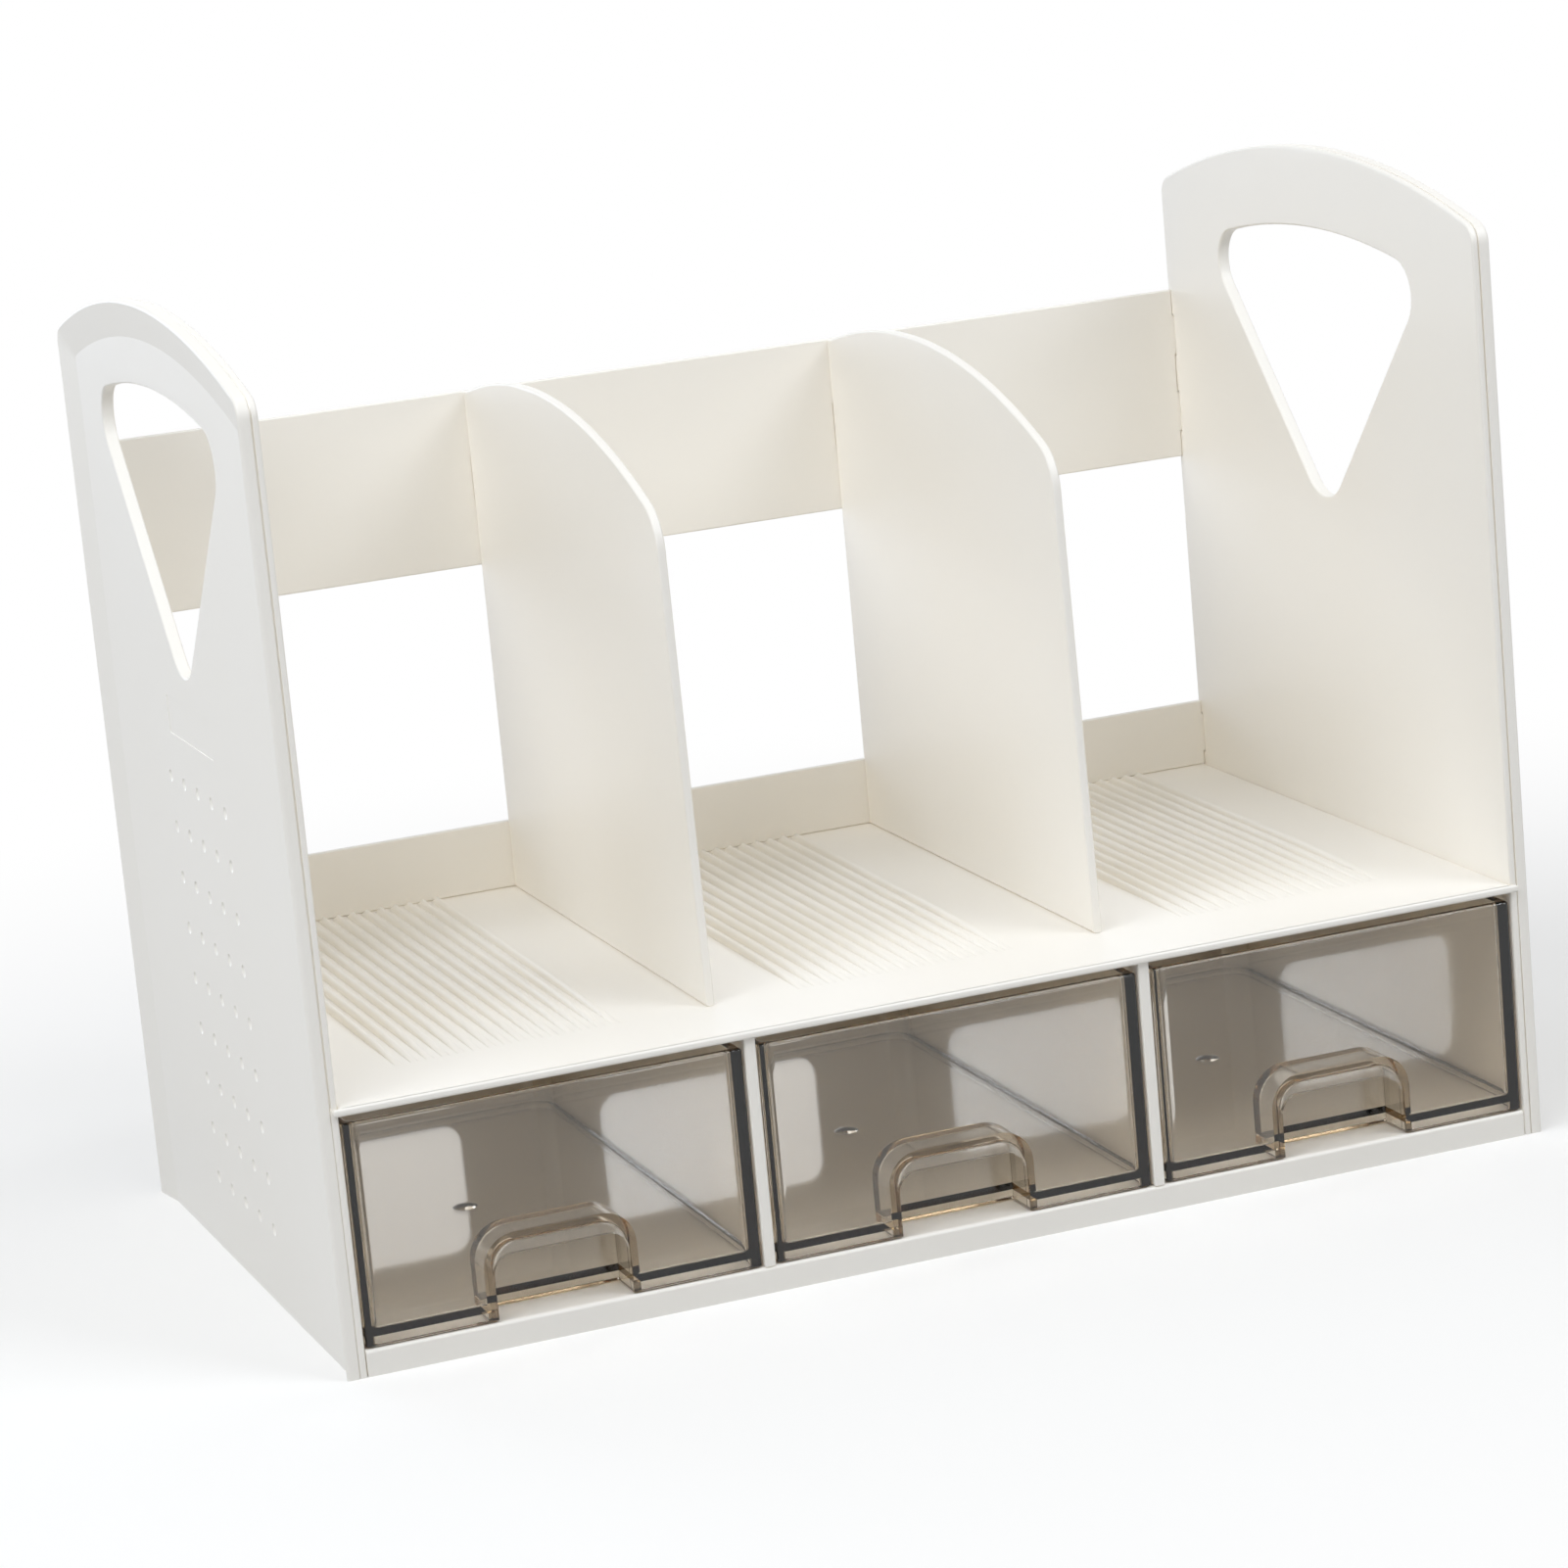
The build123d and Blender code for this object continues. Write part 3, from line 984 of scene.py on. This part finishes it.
@dataclass
class GripRidges:
    """The fields of low round ridges on the shelf, spread by a node tree."""

    count: int = 15
    pitch: float = 4.35
    width: float = 4.0
    height: float = 1.15
    front_margin: float = 29.0
    back_gap: float = 0.6
    front_taper: float = 60.0
    back_taper: float = 1.6
    rings: int = 48
    sides: int = 14

    def tree(self) -> GeometryNodeTree:
        """Builds the tree that sweeps one ridge with tapered ends and repeats it across a field.

        Returns:
            The tree, with its sizes as named inputs.
        """
        floats = ("Pitch", "Width", "Height", "Front Taper", "Back Taper")
        sizes = {"Count": "Int", **{name: "Float" for name in floats}}
        tree, given = start_tree("grip_ridges", {**sizes, "Start": "Vector", "End": "Vector"})
        ends = {"Start": given["Start"], "End": given["End"]}
        line = add_node(tree, "GeometryNodeCurvePrimitiveLine", inputs=ends)
        spacing = {"Curve": line, "Count": self.rings}
        spine = add_node(tree, "GeometryNodeResampleCurve", inputs=spacing)
        unit = {"Resolution": self.sides, "Radius": 1.0}
        circle = add_node(tree, "GeometryNodeCurvePrimitiveCircle", inputs=unit)
        girth = {"X": given["Height"], "Y": given["Width"], "Z": 1.0}
        scale = add_node(tree, "ShaderNodeCombineXYZ", inputs=girth)
        flat = {"Geometry": circle, "Scale": scale}
        section = add_node(tree, "GeometryNodeTransform", inputs=flat)
        sweep = {"Curve": spine, "Profile Curve": section, "Fill Caps": True}
        ridge = add_node(tree, "GeometryNodeCurveToMesh", inputs=sweep)
        here = add_node(tree, "GeometryNodeInputPosition")
        fades = []
        for end, taper in (("Start", "Front Taper"), ("End", "Back Taper")):
            gap = add_node(tree, "ShaderNodeVectorMath", MINUS, {0: here, 1: given[end]})
            away = add_node(tree, "ShaderNodeSeparateXYZ", inputs={"Vector": gap}).outputs
            run = add_node(tree, "ShaderNodeMath", {"operation": "ABSOLUTE"}, {0: away["Y"]})
            ratio = {"operation": "DIVIDE", "use_clamp": True}
            share = add_node(tree, "ShaderNodeMath", ratio, {0: run, 1: given[taper]})
            rest = add_node(tree, "ShaderNodeMath", MINUS, {0: 1.0, 1: share})
            square = add_node(tree, "ShaderNodeMath", TIMES, {0: rest, 1: rest})
            fades.append(add_node(tree, "ShaderNodeMath", MINUS, {0: 1.0, 1: square}))
        nose = add_node(tree, "ShaderNodeMath", {"operation": "SQRT"}, {0: fades[1]})
        swell = add_node(tree, "ShaderNodeMath", TIMES, {0: fades[0], 1: nose})
        lost = add_node(tree, "ShaderNodeMath", MINUS, {0: swell, 1: 1.0})
        sink = add_node(tree, "ShaderNodeMath", TIMES, {0: away["Z"], 1: lost})
        down = add_node(tree, "ShaderNodeCombineXYZ", inputs={"Z": sink})
        drop = {"Geometry": ridge, "Offset": down}
        faded = add_node(tree, "GeometryNodeSetPosition", inputs=drop)
        smooth = add_node(tree, "GeometryNodeSetShadeSmooth", inputs={"Geometry": faded})
        offset = add_node(tree, "ShaderNodeCombineXYZ", inputs={"X": given["Pitch"]})
        spots = {"Count": given["Count"], "Offset": offset}
        row = add_node(tree, "GeometryNodeMeshLine", inputs=spots)
        copies = {"Points": row, "Instance": smooth}
        spread = add_node(tree, "GeometryNodeInstanceOnPoints", inputs=copies)
        end_tree(tree, spread, given["Material"])
        return tree

    def values(self, centre: float, front: float, back: float, top: float) -> dict[str, Any]:
        """The tree's sizes for one field.

        Args:
            centre: X of the field's middle in millimetres.
            front: Y of the ridges' front ends in millimetres.
            back: Y of the ridges' back ends in millimetres.
            top: Height of the shelf's top in millimetres.

        Returns:
            The values by input name.
        """
        left = centre - (self.count - 1) / 2 * self.pitch
        return {
            "Count": self.count,
            "Pitch": self.pitch * MM,
            "Width": self.width / 2 * MM,
            "Height": self.height * MM,
            "Front Taper": self.front_taper * MM,
            "Back Taper": self.back_taper * MM,
            "Start": (left * MM, front * MM, top * MM),
            "End": (left * MM, back * MM, top * MM),
        }


@dataclass
class Shelf:
    """The deck over the drawers with its front lip and grip ridges."""

    material: Material
    bays: Sequence[float]
    edge_round: float = 0.8
    edge_steps: int = 5
    lip_overlap: float = 1.6
    lip_reach: float = 1.5
    ear_gap: float = 0.1
    deck_thickness: float = 2.2
    ridges: GripRidges = field(default_factory=GripRidges)

    def build(self) -> None:
        """Makes and dresses the deck and a field of ridges in each book compartment."""
        deck = Block.of_node("shelf_deck")
        liner = Block.of_node("left_inner_panel")
        foot, top = deck.low.z, deck.low.z + self.deck_thickness
        body = -liner.high.x - self.ear_gap
        lip = -liner.high.x + self.lip_overlap
        front, back = deck.low.y, deck.high.y
        step = front + self.lip_reach - self.ear_gap
        half = [(lip, front), (lip, step), (body, step), (body, back)]
        outline = half + [(-x, y) for x, y in reversed(half)]
        edge = (self.edge_round, self.edge_steps)
        builder = Builder().plate(outline, foot, top, Facing.TOP, *edge)
        fit_piece(builder.to_object("shelf"), self.material, ["shelf_deck"])
        tree = self.ridges.tree()
        near = liner.low.y + self.ridges.front_margin
        far = Block.of_node("lower_back_rail").low.y - self.ridges.back_gap
        for number, centre in enumerate(self.bays, start=1):
            piece = link_object(f"shelf_ridges_{number}", bpy.data.meshes.new("ridges"))
            values = self.ridges.values(centre, near, far, top)
            run_tree(piece, tree, {**values, "Material": self.material})
            fit_piece(piece, self.material)


@dataclass
class Housing:
    """The fixed plates round the drawers and behind the books."""

    material: Material
    base_round: float = 1.2
    base_edge: float = 0.2
    base_plate: float = 2.4
    skirt: float = 2.4
    hollow_radius: float = 1.0
    hollow_round: float = 0.4
    partition_round: float = 0.6
    divider_round: float = 0.7
    wall_steps: int = 4
    rail_round: float = 0.5
    tab_height: float = 12.0
    tab_inset: float = 14.0
    tab_reach: float = 1.9
    lower_tab_drop: float = 0.05
    inner_half: float = 169.9
    window_width: float = 61.0
    window_height: float = 40.0
    window_z: float = 40.0
    window_radius: float = 6.0
    window_round: float = 0.5
    hook_height: float = 12.0
    hook_thickness: float = 1.8
    hook_gap: float = 0.1
    hook_round: float = 0.2
    divider_foot: float = 28.8
    divider_shoulder: float = 33.3
    divider_shoulder_z: float = 205.0
    divider_crown: float = 115.0
    divider_crown_z: float = 228.7
    divider_back_z: float = 221.8
    divider_corner: float = 14.0
    divider_corner_steps: int = 10
    divider_crown_steps: int = 40

    def __post_init__(self) -> None:
        """Reads the shared places from the frame."""
        self.base = Block.of_node("base_plate")
        self.upper = Block.of_node("upper_back_rail")
        self.lower = Block.of_node("lower_back_rail")
        self.rear = Block.of_node("rear_panel")
        self.front = Block.of_node("left_inner_panel").low.y
        self.walls = [Block.of_node(f"{side.label}_divider").centre.x for side in Side]
        pitch = self.walls[1] - self.walls[0]
        self.bays = [-pitch, 0.0, pitch]
        self.upper_tabs = [self.upper.low.z + self.tab_inset, self.upper.high.z - self.tab_inset]
        self.lower_tabs = [self.lower.centre.z - self.lower_tab_drop]
        self.rear_tabs = [self.window_z]

    @property
    def notches(self) -> list[float]:
        """Heights of all tabs at the back of the liners."""
        return self.upper_tabs + self.lower_tabs + self.rear_tabs

    def tabbed(self, low: float, high: float, tabs: Sequence[float]) -> Loop:
        """Outline of a band across the back with tabs at both ends.

        Args:
            low: Height of its lower edge.
            high: Height of its upper edge.
            tabs: Heights of the tabs' middles.

        Returns:
            The outline's points.
        """
        half, end = self.inner_half, self.inner_half + self.tab_reach
        right: Loop = [(half, low)]
        for z in sorted(tabs):
            bottom, top = z - self.tab_height / 2, z + self.tab_height / 2
            right += [(half, bottom), (end, bottom), (end, top), (half, top)]
        right.append((half, high))
        return right + [(-x, z) for x, z in reversed(right)]

    def make_rails(self) -> None:
        """Makes the two back rails and the windowed rear wall."""
        hook = self.upper.centre.z
        tall = self.hook_height / 2 + self.hook_gap
        wide = self.hook_thickness / 2 + self.hook_gap
        slots = [rectangle(x - wide, x + wide, hook - tall, hook + tall) for x in self.walls]
        tall, wide = self.window_height / 2, self.window_width / 2
        low, high = self.window_z - tall, self.window_z + tall
        windows = [
            rectangle(x - wide, x + wide, low, high, self.window_radius) for x in self.bays
        ]
        upper = (self.upper, self.upper_tabs, slots, self.rail_round)
        lower = (self.lower, self.lower_tabs, [], self.rail_round)
        rear = (self.rear, self.rear_tabs, windows, self.window_round)
        plans = {
            ("upper_rail", "upper_back_rail"): upper,
            ("lower_rail", "lower_back_rail"): lower,
            ("rear_wall", "rear_panel"): rear,
        }
        for (name, node), (block, tabs, holes, radius) in plans.items():
            outline = self.tabbed(block.low.z, block.high.z, tabs)
            ends = (block.low.y, block.high.y)
            builder = Builder().plate(outline, *ends, Facing.FRONT, radius, holes=holes)
            fit_piece(builder.to_object(name), self.material, [node])

    def divider_outline(self, rear_y: float) -> Loop:
        """Side view of a book divider without its hook.

        Args:
            rear_y: Place of its back edge.

        Returns:
            The outline's points.
        """
        shoulder = Vector((self.front + self.divider_shoulder, self.divider_shoulder_z))
        crown = Vector((self.front + self.divider_crown, self.divider_crown_z))
        back = Vector((rear_y, self.divider_back_z))
        centre, radius = circle_through(shoulder, crown, back)
        foot = Vector((self.front + self.divider_foot, self.lower.low.z))
        corner = self.divider_corner
        hub, start = round_corner(foot, shoulder, -1, corner, centre, radius)
        turn = math.atan2(hub[1] - centre.y, hub[0] - centre.x)
        back_angle = math.atan2(back.y - centre.y, back.x - centre.x)
        loop = [(foot.x, foot.y)]
        loop += arc(hub, corner, start % math.tau, turn, self.divider_corner_steps)
        over = arc((centre.x, centre.y), radius, turn, back_angle, self.divider_crown_steps)
        return loop + over[1:] + [(rear_y, self.lower.low.z)]

    def make_dividers(self) -> None:
        """Makes the two book dividers and the two bay partitions under them."""
        rear_y = self.upper.low.y - self.hook_gap
        profile = self.divider_outline(rear_y)
        root = rear_y - 2 * self.hook_thickness
        low, high = (self.upper.centre.z + sign * self.hook_height / 2 for sign in (-1, 1))
        deck_foot = Block.of_node("shelf_deck").low.z
        for side in Side:
            node = f"{side.label}_divider"
            block = Block.of_node(node)
            ends = (block.low.x, block.high.x, Facing.SIDE, self.divider_round, self.wall_steps)
            divider = Builder().plate(profile, *ends).to_object(f"{side.label}_book_divider")
            ends = [block.centre.x + sign * self.hook_thickness / 2 for sign in (-1, 1)]
            outline = rectangle(root, block.high.y, low, high)
            hook = Builder().plate(outline, *ends, Facing.SIDE, self.hook_round, SMALL_STEPS)
            combine(divider, hook.to_object("hook"), Change.JOIN)
            shade(divider)
            fit_piece(divider, self.material, [node])
            node = f"{side.label}_partition"
            block = Block.of_node(node)
            outline = rectangle(block.low.y, block.high.y, self.base.high.z, deck_foot)
            ends = (block.low.x, block.high.x, Facing.SIDE, self.partition_round, self.wall_steps)
            wall = Builder().plate(outline, *ends).to_object(f"{side.label}_bay_wall")
            fit_piece(wall, self.material, [node])

    def make_base(self) -> None:
        """Makes the base with its rounded front edge and the three hollows under it."""
        low, high, half = self.base.low, self.base.high, self.inner_half
        hub = (low.y + self.base_round, high.z - self.base_round)
        outline = [(low.y, low.z)]
        outline += arc(hub, self.base_round, math.pi, math.pi / 2, CORNER_STEPS)
        outline += [(high.y, high.z), (high.y, low.z)]
        plate = Builder().plate(outline, -half, half, Facing.SIDE, self.base_edge, SMALL_STEPS)
        base = plate.to_object("base")
        edges = [-half, *self.walls, half]
        front, back = low.y + self.skirt, high.y - self.skirt
        depth = high.z - self.base_plate
        rounding = (self.hollow_round, SMALL_STEPS)
        for left, right in zip(edges[:-1], edges[1:]):
            sides = (left + self.skirt, right - self.skirt)
            hollow = rectangle(*sides, front, back, self.hollow_radius)
            cutter = Builder().plate(hollow, low.z - depth, depth, Facing.TOP, *rounding)
            combine(base, cutter.to_object("hollow"), Change.CUT)
        shade(base)
        fit_piece(base, self.material, ["base_plate"])

    def build(self) -> None:
        """Makes and dresses all fixed plates."""
        self.make_base()
        self.make_rails()
        self.make_dividers()


@dataclass
class Drawer:
    """One clear tub on skids with a finger pocket at the foot of its front."""

    node: str
    body: str
    material: Material
    wall: float = 2.4
    floor: float = 2.0
    skid: float = 2.2
    front_radius: float = 1.2
    rear_radius: float = 9.0
    inner_front_radius: float = 2.5
    corner_steps: int = 8
    floor_fillet: float = 0.8
    rim_round: float = 1.0
    rim_steps: int = 5
    foot_round: float = 0.35
    pocket_half: float = 21.2
    pocket_lift: float = 0.05
    pocket_top: float = 22.9
    pocket_depth: float = 15.0
    pocket_radius: float = 9.5
    pocket_round: float = 0.7
    pocket_steps: int = 5
    finger_steps: int = 4
    mouth_drop: float = 5.5
    mouth_radius: float = 5.5
    mouth_reach: float = 3.6
    arch_steps: int = 10
    gate_width: float = 7.0
    gate_height: float = 1.1
    gate_steps: int = 7
    gate_sides: int = 28
    smooth_angle: float = 30.0

    def __post_init__(self) -> None:
        """Reads the drawer's place from the frame."""
        self.block = Block.of_node(self.node)
        self.middle = self.block.centre.x

    def plan(self, inset: float, front_radius: float, rear_radius: float) -> Loop:
        """Top view of the tub, moved in from its outside.

        Args:
            inset: How far in from the outside.
            front_radius: Radius of the two front corners.
            rear_radius: Radius of the two rear corners.

        Returns:
            The outline's points, always as many.
        """
        low, high = self.block.low, self.block.high
        left, right = low.x + inset, high.x - inset
        front, rear = low.y + inset, high.y - inset
        corners = [(left, front, front_radius), (right, front, front_radius)]
        corners += [(right, rear, rear_radius), (left, rear, rear_radius)]
        return rounded_polygon(corners, self.corner_steps)

    def make_tub(self) -> Object:
        """Builds the tub without its pocket.

        Returns:
            The tub.
        """
        low, high = self.block.low.z, self.block.high.z
        outer = self.plan(0.0, self.front_radius, self.rear_radius)
        inner = self.plan(self.wall, self.inner_front_radius, self.rear_radius - self.wall)
        under = self.plan(self.wall, self.front_radius, self.rear_radius - self.wall)
        floor_low = low + self.skid
        fillet = edge_round(self.floor_fillet, self.rim_steps, floor_low + self.floor, 1)
        rim = edge_round(self.rim_round, self.rim_steps, high, -1)
        foot = edge_round(self.foot_round, EDGE_STEPS, low, 1)
        levels = stacked(inner, fillet, -1) + stacked(inner, rim[::-1], 1)
        levels += stacked(outer, rim, -1) + stacked(outer, foot[::-1], -1)
        levels += stacked(under, foot, 1) + [(under, floor_low)]
        return Builder().solid(levels, Facing.TOP).to_object(self.node + "_tub")

    def arch(self, half: float, low: float, high: float, radius: float) -> Loop:
        """Front view of an arch with straight legs and rounded shoulders.

        Args:
            half: Half of its width.
            low: Height of its foot.
            high: Height of its crown.
            radius: Radius of its shoulders.

        Returns:
            The outline's points.
        """
        left, right = self.middle - half, self.middle + half
        corners = [(left, low, 0), (right, low, 0), (right, high, radius), (left, high, radius)]
        return rounded_polygon(corners, self.arch_steps)

    def make_gate(self) -> Object:
        """Builds the low round knob that the moulding gate leaves on the floor.

        Returns:
            The knob, rooted in the floor.
        """
        top = self.block.low.z + self.skid + self.floor
        half = self.gate_width / 2
        radius = (half**2 + self.gate_height**2) / (2 * self.gate_height)
        sweep = math.asin(half / radius)
        hub = top + self.gate_height - radius
        angles = [sweep * (1 - step / self.gate_steps) for step in range(self.gate_steps)]
        profile = [(half, top - self.floor / 2)]
        profile += [(radius * math.sin(a), hub + radius * math.cos(a)) for a in angles]
        middle = (self.middle, self.block.centre.y)
        levels = [
            (arc(middle, reach, 0.0, math.tau, self.gate_sides)[:-1], z) for reach, z in profile
        ]
        return Builder().solid(levels, Facing.TOP).to_object("gate")

    def build(self) -> None:
        """Makes and dresses the drawer: its pocket is joined on, hollowed and opened."""
        tub = self.make_tub()
        low, face, wall = self.block.low.z, self.block.low.y, self.wall
        half, radius, rear = self.pocket_half, self.pocket_radius, self.pocket_depth
        foot, crown, inside = low - self.skid, low + self.pocket_top, half - wall
        shell = self.arch(half, low + self.pocket_lift, crown, radius)
        finger = self.arch(inside, foot, crown - wall, radius - wall)
        mouth = self.arch(inside, foot, crown - self.mouth_drop, self.mouth_radius)
        soft = self.pocket_round
        plans = (
            ("shell", Change.JOIN, shell, wall / 2, rear, soft, self.pocket_steps),
            ("finger", Change.CUT, finger, wall, rear - wall, soft, self.finger_steps),
            ("mouth", Change.CUT, mouth, -wall, self.mouth_reach, self.rim_round, EDGE_STEPS),
        )
        for name, change, outline, start, end, edge, steps in plans:
            ends = (face + start, face + end)
            tool = Builder().plate(outline, *ends, Facing.FRONT, edge, steps)
            combine(tub, tool.to_object(name), change)
        combine(tub, self.make_gate(), Change.JOIN)
        shade(tub, self.smooth_angle)
        fit_piece(tub, self.material, [self.node], self.body)


@dataclass(frozen=True)
class Softbox:
    """One soft square lamp, with its place and edge in metres and its power in watts."""

    name: str
    place: Triple
    edge: float
    power: float
    colour: str

    def hang(self, aim: Vector) -> None:
        """Adds the lamp to the scene.

        Args:
            aim: The point it faces, in metres.
        """
        data = bpy.data.lights.new(self.name, "AREA")
        data.shape = "SQUARE"
        data.size = self.edge
        data.energy = self.power
        data.color = linear(self.colour)[:3]
        lamp = link_object(self.name, data)
        lamp.location = self.place
        lamp.rotation_euler = (Vector(self.place) - aim).to_track_quat("Z", "Y").to_euler()


@dataclass
class Studio:
    """A pale floor under soft even light, and the camera at the photograph's angle.

    The camera's place and lens are in millimetres, its angles in degrees and the rest in metres.
    """

    azimuth: float = -19.895
    elevation: float = 12.817
    roll: float = 5.278
    eye: Triple = (-479.58, -1309.57, 430.01)
    lens: float = 116.108
    sensor: float = 36.0
    near_clip: float = 0.05
    floor_size: float = 12.0
    floor_colour: str = "#F9F7F3"
    bounce_colour: str = "#C8C8C8"
    lamp_colour: str = "#F3F8FF"
    rim_colour: str = "#D9E8FF"
    floor_glow: float = 0.3
    floor_near: float = 0.2
    floor_far: float = 0.6
    ambient: float = 0.3
    backdrop: float = 1.0
    first_matt: float = 0.5  # a ray's count of matt bounces is below this until the first one
    light_bounces: int = 32
    aim_height: float = 0.12

    def make_camera(self) -> None:
        """Places the camera and makes it the scene's."""
        turn, lift, tilt = (math.radians(a) for a in (self.azimuth, self.elevation, self.roll))
        level_reach = math.cos(lift)
        back = Vector((math.sin(turn) * level_reach, -math.cos(turn) * level_reach, math.sin(lift)))
        level = (-back).cross(Vector((0, 0, 1))).normalized()
        up = level.cross(-back)
        right = level * math.cos(tilt) - up * math.sin(tilt)
        upward = up * math.cos(tilt) + level * math.sin(tilt)
        data = bpy.data.cameras.new("camera")
        data.lens = self.lens
        data.sensor_width = self.sensor
        data.clip_start = self.near_clip
        camera = link_object("camera", data)
        rotation = Matrix((right, upward, back)).transposed().to_4x4()
        camera.matrix_world = Matrix.Translation(Vector(self.eye) * MM) @ rotation
        bpy.context.scene.camera = camera

    def make_floor(self) -> None:
        """Lays a pale matt floor that keeps the shadow and turns white away from the object."""
        half = self.floor_size / 2 / MM
        builder = Builder()
        rings = builder.loft([(rectangle(-half, half, -half, half), 0.0)], Facing.TOP)
        builder.mesh.faces.new(rings[0])
        floor = builder.to_object("floor")
        paint = bpy.data.materials.new("matt_floor_paint")
        tree = empty_tree(paint)
        seen = self.seen_directly(tree)
        tones = {0: seen, "A": linear(self.bounce_colour), "B": linear(self.floor_colour)}
        tone = add_node(tree, "ShaderNodeMix", {"data_type": "RGBA"}, tones)
        matt = add_node(tree, "ShaderNodeBsdfDiffuse", inputs={"Color": tone})
        white = add_node(tree, "ShaderNodeEmission", inputs={"Strength": self.backdrop})
        place = add_node(tree, "ShaderNodeTexCoord").outputs["Object"]
        away = add_node(tree, "ShaderNodeVectorMath", {"operation": "LENGTH"}, {0: place})
        fade = add_node(
            tree,
            "ShaderNodeMapRange",
            {"interpolation_type": "SMOOTHSTEP"},
            {
                "Value": away,
                "From Min": self.floor_near,
                "From Max": self.floor_far,
                "To Min": self.floor_glow,
            },
        )
        share = add_node(tree, "ShaderNodeMath", TIMES, {0: fade, 1: seen})
        blend = add_node(tree, "ShaderNodeMixShader", inputs={0: share, 1: matt, 2: white})
        add_node(tree, "ShaderNodeOutputMaterial", inputs={"Surface": blend})
        floor.data.materials.append(paint)

    def seen_directly(self, tree: NodeTree) -> Node:
        """Adds nodes that tell rays which show a surface from rays that only light it.

        Args:
            tree: Tree that takes the nodes.

        Returns:
            A node that gives one for camera, mirror and see-through rays up to the first matt
            face, and zero for others.
        """
        path = add_node(tree, "ShaderNodeLightPath").outputs
        seen = path["Is Camera Ray"]
        for kind in ("Is Glossy Ray", "Is Transmission Ray"):
            either = {0: seen, 1: path[kind]}
            seen = add_node(tree, "ShaderNodeMath", {"operation": "MAXIMUM"}, either)
        depth = {0: path["Diffuse Depth"], 1: self.first_matt}
        straight = add_node(tree, "ShaderNodeMath", {"operation": "LESS_THAN"}, depth)
        return add_node(tree, "ShaderNodeMath", TIMES, {0: seen, 1: straight})

    def make_world(self) -> None:
        """Fills the room with even light, and shows white behind the object."""
        world = bpy.data.worlds.new("studio")
        bpy.context.scene.world = world
        tree = empty_tree(world)
        seen = self.seen_directly(tree)
        levels = {"Value": seen, "To Min": self.ambient, "To Max": self.backdrop}
        strength = add_node(tree, "ShaderNodeMapRange", inputs=levels)
        shine = {"Color": WHITE, "Strength": strength}
        glow = add_node(tree, "ShaderNodeBackground", inputs=shine)
        add_node(tree, "ShaderNodeOutputWorld", inputs={"Surface": glow})

    def hang_lamps(self) -> None:
        """Hangs four soft lamps before and above the object and two weak ones behind it."""
        main, rim = self.lamp_colour, self.rim_colour
        lamps = (
            Softbox("overhead_softbox", (0.0, 0.1, 2.2), 1.6, 6.6, main),
            Softbox("left_front_softbox", (-1.1, -1.1, 1.7), 1.0, 12.2, main),
            Softbox("left_softbox", (-1.6, -0.4, 1.7), 1.0, 15.0, main),
            Softbox("right_front_softbox", (1.0, -1.2, 1.7), 1.0, 17.4, main),
            Softbox("left_rim_softbox", (-0.75, 1.75, 0.5), 0.8, 5.8, rim),
            Softbox("right_rim_softbox", (0.55, 1.8, 0.5), 0.8, 1.0, rim),
        )
        for lamp in lamps:
            lamp.hang(Vector((0.0, 0.0, self.aim_height)))

    def build(self) -> None:
        """Makes the floor, the light and the camera.

        Light reaches the inside of the clear drawers only after many bounces, and Cycles' glossy
        filter would keep it out.
        """
        scene = bpy.context.scene
        scene.view_settings.view_transform = "Standard"
        scene.cycles.max_bounces = self.light_bounces
        scene.cycles.transmission_bounces = self.light_bounces
        scene.cycles.glossy_bounces = self.light_bounces
        scene.cycles.diffuse_bounces = self.light_bounces // 2
        scene.cycles.blur_glossy = 0.0
        self.make_floor()
        self.make_world()
        self.hang_lamps()
        self.make_camera()


def main() -> None:
    """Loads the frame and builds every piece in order."""
    logging.basicConfig(level=logging.INFO, format="%(name)s: %(message)s")
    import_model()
    ivory = IvoryPolystyrene().material()
    smoke = SmokePolystyrene().material()
    housing = Housing(ivory)
    housing.build()
    Shelf(ivory, housing.bays).build()
    dot_tree = SunkDots().tree()
    for side in Side:
        SidePanel(side, ivory, housing.notches).build(dot_tree)
    drawers = {"left_drawer": "drawer_l", "middle_drawer": "drawer_m", "right_drawer": "drawer_r"}
    for node, body in drawers.items():
        Drawer(node, body, smoke).build()
    Studio().build()
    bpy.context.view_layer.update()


if __name__ == "__main__":
    main()
